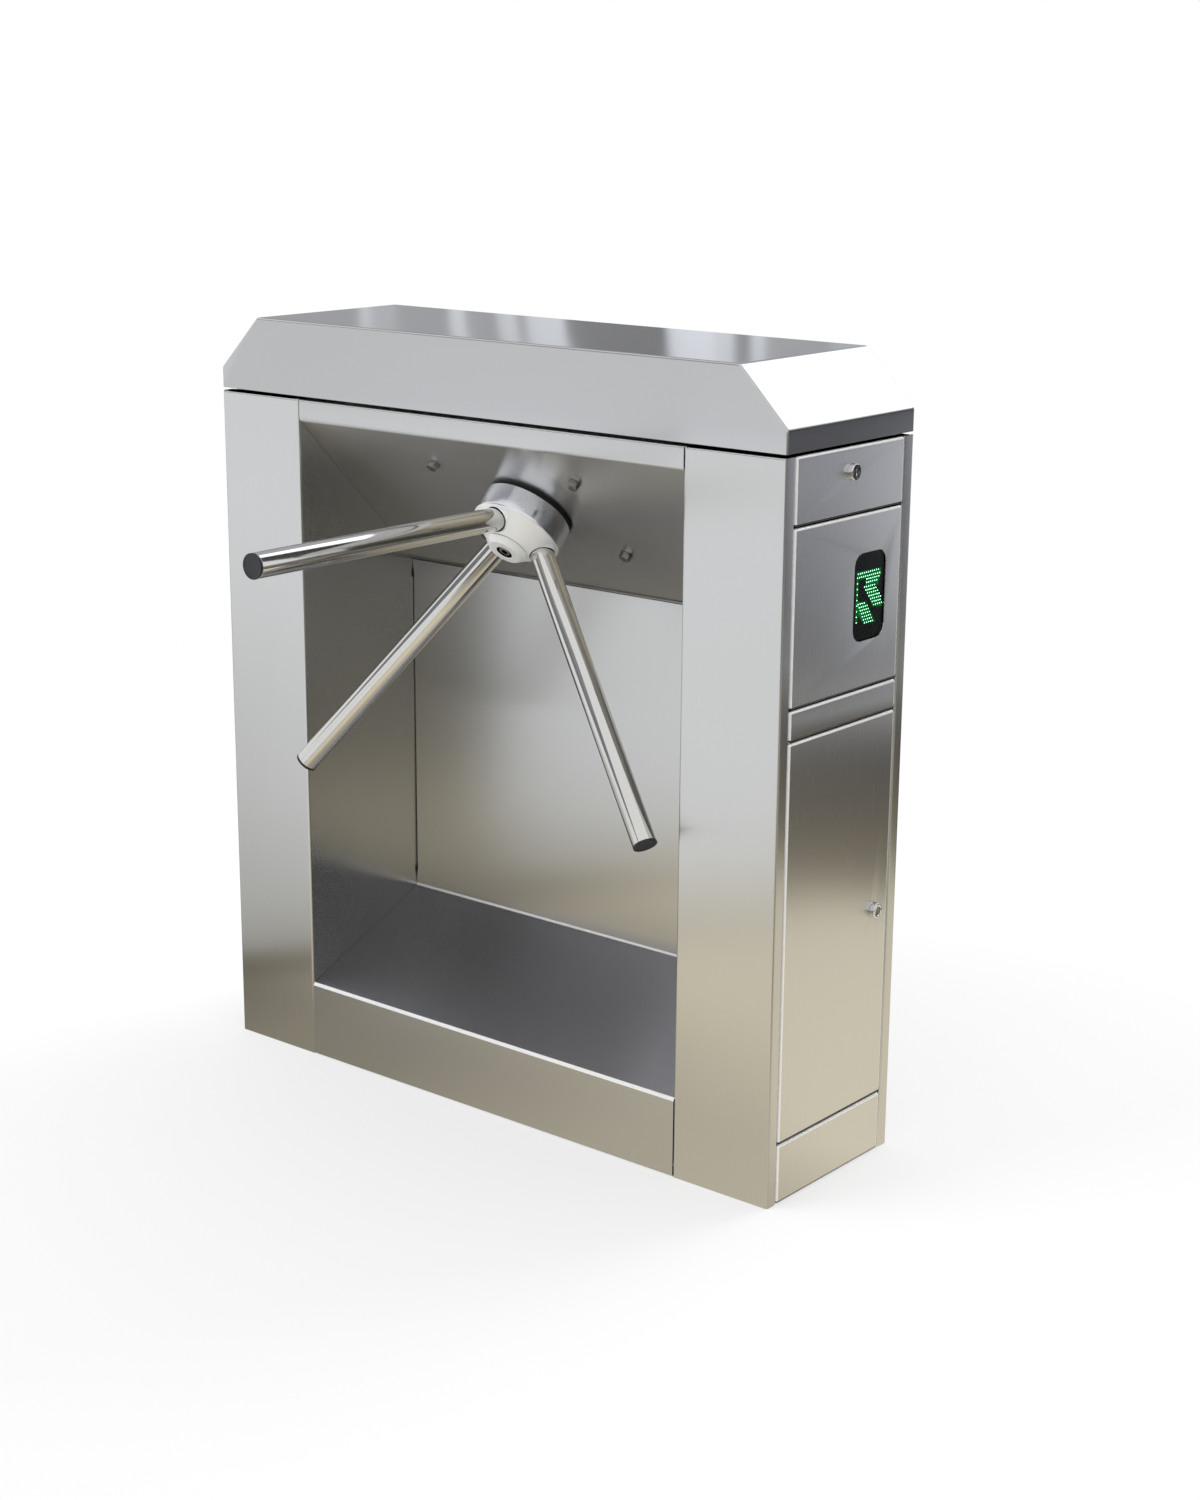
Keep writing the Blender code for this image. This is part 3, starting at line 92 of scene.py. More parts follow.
CAP_PLUG_RADIUS = 0.0132
CAP_PLUG_END = 0.4497
CAP_SHOULDER = 0.4640   # where the end cap comes out to the tube's width
CAP_DISH_RADIUS = 0.0126
CAP_DISH = 0.0005       # how far its face is sunk
SOCKET_RADIUS = 0.0160
SOCKET_PLAY = 0.0003
SOCKET_CUT_END = 0.2    # well past the hub
BOLT_HEX = 0.0075       # across corners, half
BOLT_HEAD = 0.0053
BOLT_CROWN = 0.0062     # radius of the flat on top of its head
WASHER_RADIUS = 0.008
WASHER_TOP = 0.0019
BOLT_RADIUS = 0.004
BOLT_PAST_NUT = 0.002
FINE_EDGE = 0.0003
BOLT_PLACES = ((0.115, 0.072), (-0.115, 0.072), (-0.115, -0.072), (0.115, -0.072))
PLATE_BACK = -0.0098
NUT_BACK = -0.0166
LAMP_FACE = 0.0051      # how far the lamp block's face lies behind the cabinet's end
LAMP_BLOCK_X = END_X - LAMP_FACE - 0.0055
ROUND_SIDES = 96        # facets of the finished round pieces

HUB_PLACE = Matrix.Translation(HUB_CENTRE) @ Matrix((
    (1, 0, 0, 0),
    (0, -math.cos(HUB_TILT), -math.sin(HUB_TILT), 0),
    (0, math.sin(HUB_TILT), -math.cos(HUB_TILT), 0),
    (0, 0, 0, 1),
))


def arm_place(number):
    """Where an arm's axis lies: its Z runs out along the arm."""
    turn = math.pi / 2 + (number - 1) * 2 * math.pi / 3
    tip = Matrix.Rotation(turn, 4, "Z") @ Matrix.Rotation(math.radians(45), 4, "Y")
    return HUB_PLACE @ Matrix.Translation((0, 0, ARMS_MEET)) @ tip


# Mesh helpers

def lathe(profile, sides):
    """A closed solid of revolution about Z from (radius, height) pairs; a radius of 0 is a pole."""
    bm = bmesh.new()
    rings = []
    for radius, height in profile:
        if radius == 0:
            rings.append([bm.verts.new((0, 0, height))])
            continue
        turns = [2 * math.pi * step / sides for step in range(sides)]
        rings.append([bm.verts.new((radius * math.cos(a), radius * math.sin(a), height)) for a in turns])
    pairs = list(zip(rings, rings[1:]))
    if len(rings[0]) > 1 and len(rings[-1]) > 1:
        pairs.append((rings[-1], rings[0]))
    for low, high in pairs:
        for step in range(sides):
            after = (step + 1) % sides
            corners = [low[step % len(low)], low[after % len(low)],
                       high[after % len(high)], high[step % len(high)]]
            corners = list(dict.fromkeys(corners))
            if len(corners) > 2:
                bm.faces.new(corners)
    bmesh.ops.recalc_face_normals(bm, faces=bm.faces)
    return bm


def rounded(profile, radius, steps=3):
    """The same profile with its inner corners turned to small arcs."""
    points = [Vector(point) for point in profile]
    out = [points[0]]
    for before, corner, after in zip(points, points[1:], points[2:]):
        reach = min(radius, (before - corner).length * 0.45, (after - corner).length * 0.45)
        low = corner + (before - corner).normalized() * reach
        high = corner + (after - corner).normalized() * reach
        for step in range(steps + 1):
            share = step / steps
            out.append(low.lerp(corner, share).lerp(corner.lerp(high, share), share))
    out.append(points[-1])
    return [tuple(point) for point in out]


def polygon(sides, radius, turn=0.0):
    angles = [turn + 2 * math.pi * corner / sides for corner in range(sides)]
    return [(radius * math.cos(angle), radius * math.sin(angle)) for angle in angles]


def prism(outline, low, high):
    """An upright solid over a flat outline."""
    bm = bmesh.new()
    face = bm.faces.new([bm.verts.new((x, y, low)) for x, y in outline])
    grown = bmesh.ops.extrude_face_region(bm, geom=[face])["geom"]
    top = [item for item in grown if isinstance(item, bmesh.types.BMVert)]
    bmesh.ops.translate(bm, vec=(0, 0, high - low), verts=top)
    bmesh.ops.recalc_face_normals(bm, faces=bm.faces)
    return bm


def shade(mesh, angle):
    mesh.shade_smooth()
    mesh.set_sharp_from_angle(angle=math.radians(angle))


def piece(name, bm, place=None, smooth=40):
    """An object at the origin with its place in its mesh, smooth up to an angle."""
    mesh = bpy.data.meshes.new(name)
    if place is not None:
        bm.transform(place)
    bm.to_mesh(mesh)
    bm.free()
    shade(mesh, smooth)
    ob = bpy.data.objects.new(name, mesh)
    bpy.context.scene.collection.objects.link(ob)
    return ob


def settle(ob):
    """Turns an object's modifiers into a plain mesh."""
    graph = bpy.context.evaluated_depsgraph_get()
    graph.update()
    mesh = bpy.data.meshes.new_from_object(ob.evaluated_get(graph))
    ob.modifiers.clear()
    ob.data = mesh


def carve(ob, *cutters):
    """Cuts holes with other pieces, which are thrown away."""
    for cutter in cutters:
        step = ob.modifiers.new("cut", "BOOLEAN")
        step.operation = "DIFFERENCE"
        step.solver = "EXACT"
        step.object = cutter
    settle(ob)
    for cutter in cutters:
        bpy.data.objects.remove(cutter)


def merge(name, *obs):
    """One mesh of several pieces that ride together."""
    bm = bmesh.new()
    for ob in obs:
        bm.from_mesh(ob.data)
        bpy.data.objects.remove(ob)
    return piece(name, bm)


def wear(ob, *materials):
    """Gives a piece its materials."""
    ob.data.materials.clear()
    for material in materials:
        ob.data.materials.append(material)
    return ob


def dress(ob, materials, choose):
    """Gives a piece several materials: choose says which one a face takes, by its centre and normal."""
    wear(ob, *materials)
    for face in ob.data.polygons:
        face.material_index = int(choose(face.center, face.normal))


def stand_for(ob, node):
    """Puts a piece on the body of the node that it replaces, and hides that node."""
    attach(ob, BODY_OF[node])
    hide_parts(node)


# Material helpers

def linear(text):
    """A colour written as sRGB hex, as the linear values that shaders take."""
    parts = [int(text[i:i + 2], 16) / 255 for i in (1, 3, 5)]
    return [c / 12.92 if c <= 0.04045 else ((c + 0.055) / 1.055) ** 2.4 for c in parts] + [1.0]


def add(tree, kind, feeds=None, stops=(), **settings):
    """Adds one node. Each feed is a socket's value, or the output that it comes from.
    Stops are a colour ramp's (position, linear colour) pairs."""
    node = tree.nodes.new(kind)
    for key, value in settings.items():
        setattr(node, key, value)
    if stops:
        marks = node.color_ramp.elements
        while len(marks) < len(stops):
            marks.new(0.5)
        for mark, (position, colour) in zip(marks, stops):
            mark.position = position
            mark.color = colour
    for key, value in (feeds or {}).items():
        if isinstance(value, bpy.types.NodeSocket):
            tree.links.new(value, node.inputs[key])
        else:
            node.inputs[key].default_value = value
    return node.outputs


def start(name, **values):
    """A new material with one Principled shader and these values on its own sockets."""
    material = bpy.data.materials.new(name)
    material.use_nodes = True
    tree = material.node_tree
    shader = tree.nodes["Principled BSDF"]
    for key, value in values.items():
        shader.inputs[key.replace("_", " ")].default_value = value
    return material, tree, shader


def feed(tree, shader, **outputs):
    for key, output in outputs.items():
        tree.links.new(output, shader.inputs[key.replace("_", " ")])


def grey(level):
    return (level, level, level, 1.0)


def scaled(colour, share):
    return [c * share for c in colour[:3]] + [1.0]


# Finishes

GRAIN_FINE = 1100.0     # streaks per metre across the grain: 0.9 mm, where the real ones are 0.2 mm
GRAIN_LONG = 6.0        # streaks per metre along the grain
NOISE_LOW = 0.3         # between these two lies nearly all of a noise texture
NOISE_HIGH = 0.7
STREAK_DARKER = 0.006   # shares of the colour
STREAK_LIGHTER = 0.004
STREAK_ROUGHER = 0.004
SCRATCH = 0.002         # next to none, because the anisotropy already spreads the light
SCRATCH_DEPTH = 0.0002
CLOUDS = 5.0            # per metre: patches of 200 mm where the belt pressed more or less
SAGS = 2.2              # per metre: the sheet is flat within 3 mm, over waves of 450 mm
SAG_DEPTH = 0.003


def brushed(name, colour, grain, roughness=0.27, aniso=0.90, bowed=0.0, off_square=None):
    """Stainless sheet, belt-brushed one way: reflections keep sharp along the grain, smear across it.
    A level grain turns with the sheet, so it lies along Y where the sheet faces X.
    Bowed is how round a panel looks across its width, off_square how far a flange leans along Y and Z.
    Both are in the shading alone, and both are guesses made for the likeness: the solids are flat and square."""
    material, tree, shader = start(name, Metallic=1.0, Anisotropic=aniso)
    where = add(tree, "ShaderNodeTexCoord")["Object"]
    scale = [GRAIN_LONG if axis in grain else GRAIN_FINE for axis in "XYZ"]
    stretch = add(tree, "ShaderNodeMapping", {"Vector": where, "Scale": scale})["Vector"]
    streaks = add(tree, "ShaderNodeTexNoise", {"Vector": stretch, "Scale": 1.0, "Detail": 3.0})["Fac"]
    clouds = add(tree, "ShaderNodeTexNoise", {"Vector": where, "Scale": CLOUDS, "Detail": 3.0})["Fac"]
    both = add(tree, "ShaderNodeMath", {0: streaks, 1: clouds}, operation="MULTIPLY")[0]
    tone = linear(colour)
    base = add(tree, "ShaderNodeValToRGB", {"Fac": both}, stops=[
        (0.15, scaled(tone, 1 - STREAK_DARKER)), (0.35, scaled(tone, 1 + STREAK_LIGHTER))])["Color"]
    rough = add(tree, "ShaderNodeMapRange", {
        "Value": streaks, "From Min": NOISE_LOW, "From Max": NOISE_HIGH,
        "To Min": roughness - STREAK_ROUGHER, "To Max": roughness + STREAK_ROUGHER})[0]
    facing = add(tree, "ShaderNodeNewGeometry")["True Normal"]
    line = [1.0 if axis == grain[0] else 0.0 for axis in "XYZ"]
    if grain == "X":
        facing_x = add(tree, "ShaderNodeSeparateXYZ", {"Vector": facing})["X"]
        squared = add(tree, "ShaderNodeMath", {0: facing_x, 1: facing_x}, operation="MULTIPLY")[0]
        end = add(tree, "ShaderNodeMath", {0: squared, 1: 0.3}, operation="GREATER_THAN")[0]
        line = add(tree, "ShaderNodeMix", {0: end, 4: line, 5: (0, 1, 0)}, data_type="VECTOR")[1]
    across = add(tree, "ShaderNodeVectorMath", {0: facing, 1: line}, operation="CROSS_PRODUCT")[0]
    scratch = add(tree, "ShaderNodeBump", {"Height": streaks, "Strength": SCRATCH,
                                           "Distance": SCRATCH_DEPTH})["Normal"]
    sag = add(tree, "ShaderNodeTexNoise", {"Vector": where, "Scale": SAGS, "Detail": 0.0})["Fac"]
    surface = add(tree, "ShaderNodeBump", {"Height": sag, "Strength": 1.0, "Distance": SAG_DEPTH,
                                           "Normal": scratch})["Normal"]
    if bowed:
        axes = add(tree, "ShaderNodeSeparateXYZ", {"Vector": where})
        crown = add(tree, "ShaderNodeMath", {0: axes["Y"], 1: axes["Y"]}, operation="MULTIPLY")[0]
        drop = add(tree, "ShaderNodeMath", {0: crown, 1: -bowed}, operation="MULTIPLY")[0]
        surface = add(tree, "ShaderNodeBump", {"Height": drop, "Strength": 1.0, "Distance": 1.0,
                                               "Normal": surface})["Normal"]
    if off_square:
        rise = add(tree, "ShaderNodeVectorMath", {0: where, 1: (0, *off_square)},
                   operation="DOT_PRODUCT")["Value"]
        surface = add(tree, "ShaderNodeBump", {"Height": rise, "Strength": 1.0, "Distance": 1.0,
                                               "Normal": surface})["Normal"]
    feed(tree, shader, Base_Color=base, Roughness=rough, Tangent=across, Normal=surface)
    return material


def speckled(name, colour, size, metallic=1.0, roughness=0.35, spread=0.08, bump=0.1, depth=0.0001,
             **values):
    """An even finish with fine mottling. Size is the mottle's width in metres, 1 to 4 mm on most pieces,
    which is coarser than the real grain and as fine as the render shows."""
    material, tree, shader = start(name, Metallic=metallic, **values)
    where = add(tree, "ShaderNodeTexCoord")["Object"]
    mottle = add(tree, "ShaderNodeTexNoise", {"Vector": where, "Scale": 1 / size, "Detail": 4.0})["Fac"]
    tone = linear(colour)
    base = add(tree, "ShaderNodeValToRGB", {"Fac": mottle}, stops=[
        (NOISE_LOW, scaled(tone, 1 - spread)), (NOISE_HIGH, scaled(tone, 1 + spread))])["Color"]
    rough = add(tree, "ShaderNodeMapRange", {"Value": mottle, "From Min": NOISE_LOW, "From Max": NOISE_HIGH,
                                             "To Min": roughness * 0.85, "To Max": roughness * 1.15})[0]
    surface = add(tree, "ShaderNodeBump", {"Height": mottle, "Strength": bump, "Distance": depth})["Normal"]
    feed(tree, shader, Base_Color=base, Roughness=rough, Normal=surface)
    return material


# Columns, back and other plain sheet: soft upright streaks, and light that spreads sideways
upright_steel = brushed("stainless_sheet_brushed_upright", "#d2d2d1", "Z")
# Trays of the ends: the same, shaded as if crowned by 4 mm, so that the hall curves in them
end_steel = brushed("stainless_sheet_brushed_end", "#d0d0cf", "Z", bowed=0.35)
# Narrow flanges beside them: a shade darker, as painted shade, and shaded as if they leaned, to mirror the
# darker floor
front_flange_painted_shade_steel = brushed("stainless_sheet_brushed_front_flange_painted_shade", "#c8c8c7", "Z",
                             off_square=(0.035, 0.027))
back_flange_painted_shade_steel = brushed("stainless_sheet_brushed_back_flange_painted_shade", "#c8c8c7", "Z", off_square=(0.14, 0.027))
# Niche: back wall with a clearer mirror image, side walls darker, as painted shade
niche_steel = brushed("stainless_sheet_brushed_niche", "#cfcfce", "Z", roughness=0.25)
cheek_painted_shade_steel = brushed("stainless_sheet_brushed_cheek_painted_shade", "#b0b0ae", "Z", roughness=0.22)
# Lid: grain along it, its top nearly mirror-like with the windows in it and a little darker, its lips dull and
# dark; both darker tones are painted shade
lid_steel = brushed("stainless_sheet_brushed_lid", "#c6c6c7", "X", roughness=0.19, aniso=0.95)
lid_top_painted_shade_steel = brushed("stainless_sheet_brushed_lid_top_painted_shade", "#bcbcbd", "X", roughness=0.09, aniso=0.95)
lip_painted_shade_steel = brushed("stainless_sheet_brushed_lip_painted_shade", "#9c9c9c", "X", roughness=0.22, aniso=0.95)
# Strip over the niche, slanted panel and shelf: grain along the niche, light spread up and down; the shelf is
# darker, as painted shade
level_steel = brushed("stainless_sheet_brushed_level", "#d2d2d2", "X", roughness=0.24)
slant_steel = brushed("stainless_sheet_brushed_slanted", "#d6d6d5", "X", roughness=0.24)
shelf_painted_shade_steel = brushed("stainless_sheet_brushed_shelf_painted_shade", "#9e9ea3", "X", roughness=0.26)
# Bare folds of the sheet: bright lines of painted highlight where they face up or sideways, dark lines of
# painted shade where they face down
fold_painted_highlight_steel = speckled("stainless_sheet_fold_painted_highlight", "#f4f4f4", 0.004, metallic=0.5, roughness=0.40,
                      spread=0.02, bump=0.02)
fold_painted_shade_steel = speckled("stainless_sheet_fold_painted_shade", "#4a4947", 0.004, roughness=0.40, spread=0.02,
                       bump=0.02)
# Arms: tube polished to a mirror, with long sharp highlights
tube_steel = speckled("stainless_tube_polished", "#d2d1ce", 0.004, roughness=0.09, spread=0.02, bump=0.02)
# Hub: side turned and polished to a satin shine, cone and cap blasted to an even near-white
hub_side = speckled("aluminium_turned_and_polished", "#d8dae0", 0.003, roughness=0.18, spread=0.03)
hub_cast = speckled("aluminium_cast_bead_blasted", "#e8e9e7", 0.0012, metallic=0.4, roughness=0.46,
                    spread=0.03, bump=0.2)
# Seal: a dull black rubber ring in the gap behind the hub; its black also darkens that gap, as painted shade
rubber_and_gap_shade = speckled("rubber_moulded_and_gap_shade", "#0e0f10", 0.002, metallic=0.0, roughness=0.7)
# Ends of the arms and the sensor: black plastic with a soft shine
cap_plastic = speckled("nylon_moulded_black", "#15161a", 0.0015, metallic=0.0, roughness=0.34)
# Bolts, base plate and the cams of the door locks: grey plating with a faint mottle
zinc = speckled("steel_zinc_plated", "#8f8e8b", 0.003, roughness=0.3, spread=0.1)
# Locks: bright chrome round a darker face
chrome = speckled("lock_chrome_plated", "#dcdcdd", 0.004, roughness=0.12, spread=0.02, bump=0.02)
lock_face = speckled("lock_face_darkened", "#4b4b4f", 0.003, roughness=0.25)
# Shaft, gears, rotor, bearings and mounting plate: bare cut steel, satin
machined = speckled("steel_machined", "#a9a8a5", 0.002, roughness=0.32, spread=0.1)
# Bearing housing: matt cast skin with a fine grain
die_cast = speckled("aluminium_die_cast", "#a7a8a9", 0.0015, roughness=0.5, spread=0.1, bump=0.4)
# Brake coil, motor, slotted disc and the cap's screw socket: oiled black, half dull. On the cap it also paints
# shade into the socket and the groove round the screw
black_steel_and_recess_shade = speckled("steel_blackened_and_recess_painted_shade", "#2a2b2d", 0.002, roughness=0.45)
# Supply's case: plain dull aluminium
sheet_case = speckled("aluminium_sheet_case", "#bfc1c3", 0.003, roughness=0.38)
# Boards: clear lacquer over dark green
circuit = speckled("circuit_board_lacquered", "#1d4a2c", 0.003, metallic=0.0, roughness=0.3, spread=0.2)
# Block that holds the lamps: near-black green that takes no light
lamp_block = speckled("lamp_block_moulded", "#04180b", 0.002, metallic=0.0, roughness=0.8,
                      Specular_IOR_Level=0.05)
# Lens: clear but dark, so that only the lit lamps show through
smoked = speckled("acrylic_smoked", "#566a5e", 0.01, metallic=0.0, roughness=0.04, spread=0.02, bump=0.0,
                  Transmission_Weight=1.0, IOR=1.49, Specular_IOR_Level=0.08,
                  Specular_Tint=(0.2, 0.2, 0.2, 1))
# Lamps: lit mint green, with a dark green glow in the block round them, which is painted light: plates that glow
# by themselves
arrow_green = speckled("lamp_lens_green_lit", "#0b3d1e", 0.002, metallic=0.0, roughness=0.3,
                       Emission_Color=linear("#b4ffd6"), Emission_Strength=36.0)
haze_painted_glow = speckled("lamp_block_painted_glow", "#04180b", 0.002, metallic=0.0, roughness=0.8,
                      Emission_Color=linear("#0aa84a"), Emission_Strength=1.8)

FINISH = {
    "brushed_stainless": upright_steel,
    "polished_stainless": tube_steel,
    "cast_aluminium": hub_cast,
    "black_plastic": cap_plastic,
    "zinc_plate": zinc,
    "chromed_lock": chrome,
    "machined_steel": machined,
    "cast_housing": die_cast,
    "black_metal": black_steel_and_recess_shade,
    "smoked_acrylic": smoked,
    "green_board": circuit,
    "aluminium_case": sheet_case,
}
OWN_FINISH = {"niche_back_wall": niche_steel}


def lid_faces(centre, normal):
    """The top is 1, the lips across its ends 2, the rest 0."""
    return 1 if normal.z > 0.9 else 2 if abs(normal.x) > 0.9 else 0


def column_faces(centre, normal):
    """The niche's side wall is 1, the flange on the end 2, the front 0."""
    if abs(normal.x) < 0.5:
        return 0
    return 1 if abs(centre.x) < CHEEK_X + 0.01 else 2


def back_faces(centre, normal):
    return abs(normal.x) > 0.5 and abs(centre.x) > END_X - 0.002


def plinth_faces(centre, normal):
    """The fold between beam and shelf is 2, with a painted highlight, the shelf 1, the beam 0."""
    return 2 if normal.y < -0.5 and normal.z > 0.1 else 1 if normal.z > 0.3 else 0


def tray_faces(centre, normal):
    """The folds round a tray are 1, a painted highlight, or 2 where they face down, painted shade."""
    if not 0.15 < abs(normal.x) < 0.96:
        return 0
    return 2 if normal.z < -0.2 else 1


def lock_faces(centre, normal):
    """The face that stands out of the panel is 1."""
    return abs(normal.x) > 0.9 and abs(centre.x) > END_X + 0.004


def board_faces(centre, normal):
    """The lamp block on the board is 1."""
    return abs(centre.x) > LAMP_BLOCK_X


MIXED_FINISH = {
    "lid": ((lid_steel, lid_top_painted_shade_steel, lip_painted_shade_steel), lid_faces),
    "mechanism_panel": ((level_steel, slant_steel), lambda centre, normal: abs(normal.z) > 0.3),
    "plinth_panel": ((lid_steel, shelf_painted_shade_steel, fold_painted_highlight_steel), plinth_faces),
    "back_panel": ((upright_steel, back_flange_painted_shade_steel), back_faces),
}
for side_word in ("right", "left"):
    for kind in ("end_rail", "lock_panel", "display_panel", "door", "kick_plate"):
        MIXED_FINISH[f"{kind}_{side_word}"] = ((end_steel, fold_painted_highlight_steel, fold_painted_shade_steel), tray_faces)
    column_finishes = (upright_steel, cheek_painted_shade_steel, front_flange_painted_shade_steel)
    MIXED_FINISH[f"front_column_{side_word}"] = (column_finishes, column_faces)
    MIXED_FINISH[f"display_board_{side_word}"] = ((circuit, lamp_block), board_faces)
    for lock_part in ("body", "cam"):
        MIXED_FINISH[f"lid_lock_{side_word}_{lock_part}"] = ((chrome, lock_face), lock_faces)


# Hub: the cast head, its cap and the seal behind it

def hub_height(point):
    """How far a point lies out along the hub's axis."""
    return (HUB_PLACE.inverted() @ point).z


def hub_radius(point):
    return (HUB_PLACE.inverted() @ point).xy.length


def make_hub():
    side = [(HUB_BORE, HUB_GAP), (HUB_RADIUS - HUB_EDGE, HUB_GAP), (HUB_RADIUS, HUB_GAP + HUB_EDGE),
            (HUB_RADIUS, HUB_SHOULDER), (CAP_RADIUS + CAP_PLAY, HUB_TOP), (CAP_SEAT_RADIUS, HUB_TOP),
            (CAP_SEAT_RADIUS, CAP_SEAT_FLOOR), (HUB_BORE, CAP_SEAT_FLOOR)]
    hub = piece("hub_head", lathe(rounded(side, HUB_ROUNDING, 4), 128))
    sockets = []
    for number in (1, 2, 3):
        bore = prism(polygon(48, SOCKET_RADIUS), ARM_LOW - SOCKET_PLAY, SOCKET_CUT_END)
        sockets.append(piece(f"socket_{number}", bore, HUB_PLACE.inverted() @ arm_place(number)))
    carve(hub, *sockets)
    bevel = hub.modifiers.new("edge", "BEVEL")
    bevel.width = 0.0007
    bevel.segments = 2
    bevel.limit_method = "ANGLE"
    bevel.angle_limit = math.radians(40)
    settle(hub)
    hub.data.transform(HUB_PLACE)
    dress(hub, (hub_cast, hub_side), lambda centre, normal: hub_height(centre) < HUB_SHOULDER - 0.0005)
    stand_for(hub, "hub")


def cap_faces(centre, normal):
    """The screw's head is bare steel; its socket and the groove round it are dark, as painted shade."""
    if hub_radius(centre) > COUNTERBORE_RADIUS + 0.0002 or hub_height(centre) < CAP_FLOOR - 0.002:
        return 0
    on_head = SCREW_SOCKET < hub_radius(centre) < SCREW_HEAD_RADIUS + 0.0002
    return 1 if on_head and hub_height(centre) > SCREW_TOP - 0.001 else 2


def make_cap():
    rise = rounded([
        (CAP_SPIGOT_RADIUS, CAP_LOW), (CAP_RADIUS, CAP_LOW), (CAP_RADIUS, CAP_LOW + CAP_RIM),
        (CAP_FACE_RADIUS, CAP_TOP), (COUNTERBORE_RADIUS, CAP_TOP), (COUNTERBORE_RADIUS, CAP_FLOOR),
        (SCREW_HEAD_RADIUS, CAP_FLOOR), (SCREW_HEAD_RADIUS, SCREW_TOP), (SCREW_SOCKET, SCREW_TOP),
    ], CAP_ROUNDING)
    foot = [(0, CAP_SPIGOT_END), (CAP_SPIGOT_RADIUS, CAP_SPIGOT_END)]
    socket = [(SCREW_SOCKET, SCREW_TOP - SCREW_SOCKET_DEPTH), (0, SCREW_TOP - SCREW_SOCKET_DEPTH)]
    cap = piece("hub_cap_turned", lathe(foot + rise + socket, ROUND_SIDES), HUB_PLACE)
    dress(cap, (hub_cast, machined, black_steel_and_recess_shade), cap_faces)
    stand_for(cap, "hub_cap")


def make_seal():
    ring = [(SEAL_BORE, SEAL_LOW), (SEAL_RADIUS, SEAL_LOW), (SEAL_RADIUS, SEAL_TOP), (SEAL_BORE, SEAL_TOP)]
    seal = wear(piece("hub_seal", lathe(ring, ROUND_SIDES), HUB_PLACE), rubber_and_gap_shade)
    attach(seal, "cabinet")


make_hub()
make_cap()
make_seal()


# Arms

def make_arm(number):
    place = arm_place(number)
    tube = rounded([(ARM_BORE, ARM_LOW), (ARM_RADIUS, ARM_LOW), (ARM_RADIUS, ARM_HIGH), (ARM_BORE, ARM_HIGH)],
                   TUBE_EDGE)
    arm = wear(piece(f"arm_tube_{number}", lathe(tube, ROUND_SIDES), place), tube_steel)
    stand_for(arm, f"arm_{number}")
    rim = rounded([
        (CAP_PLUG_RADIUS, CAP_PLUG_END), (CAP_PLUG_RADIUS, CAP_SHOULDER), (ARM_RADIUS, CAP_SHOULDER),
        (ARM_RADIUS, ARM_REACH), (CAP_PLUG_RADIUS, ARM_REACH), (CAP_DISH_RADIUS, ARM_REACH - CAP_DISH),
        (0.001, ARM_REACH - CAP_DISH),
    ], 0.0005)
    profile = [(0, CAP_PLUG_END)] + rim + [(0, ARM_REACH - CAP_DISH)]
    end = piece(f"arm_end_{number}", lathe(profile, ROUND_SIDES), place)
    stand_for(wear(end, cap_plastic), f"arm_cap_{number}")


for arm_number in (1, 2, 3):
    make_arm(arm_number)


# Bolts that hold the drive's plate

def make_bolt(number, at):
    """Head with chamfered corners, washer, stem and nut. No two heads are turned alike."""
    head_top = WASHER_TOP + BOLT_HEAD
    head = prism(polygon(6, BOLT_HEX, turn=0.35 * number), WASHER_TOP, head_top)
    bolt = piece(f"bolt_head_{number}", head)
    cone = piece("cone", lathe([(0, WASHER_TOP), (0.0135, WASHER_TOP), (0.0070, WASHER_TOP + BOLT_HEAD * 0.9),
                                (BOLT_CROWN, head_top), (0, head_top)], 48))
    common = bolt.modifiers.new("chamfer", "BOOLEAN")
    common.operation = "INTERSECT"
    common.solver = "EXACT"
    common.object = cone
    settle(bolt)
    bpy.data.objects.remove(cone)
    stem_end = NUT_BACK - BOLT_PAST_NUT
    stem = piece("stem", lathe(rounded([(0, stem_end), (BOLT_RADIUS, stem_end), (BOLT_RADIUS, WASHER_TOP),
                                        (0, WASHER_TOP)], FINE_EDGE), 32))
    washer = piece("washer", lathe(rounded([(BOLT_RADIUS, CLEARANCE), (WASHER_RADIUS, CLEARANCE),
                                            (WASHER_RADIUS, WASHER_TOP), (BOLT_RADIUS, WASHER_TOP)],
                                           FINE_EDGE), 48))
    nut = piece("nut", prism(polygon(6, BOLT_HEX, turn=0.2), NUT_BACK, PLATE_BACK - CLEARANCE))
    whole = merge(f"hexagon_bolt_{number}", bolt, stem, washer, nut)
    whole.data.transform(HUB_PLACE @ Matrix.Translation((*at, 0)))
    stand_for(wear(whole, zinc), f"panel_bolt_{number}")


for bolt_number, bolt_at in enumerate(BOLT_PLACES, 1):
    make_bolt(bolt_number, bolt_at)


# Arrow of lamps behind each lens

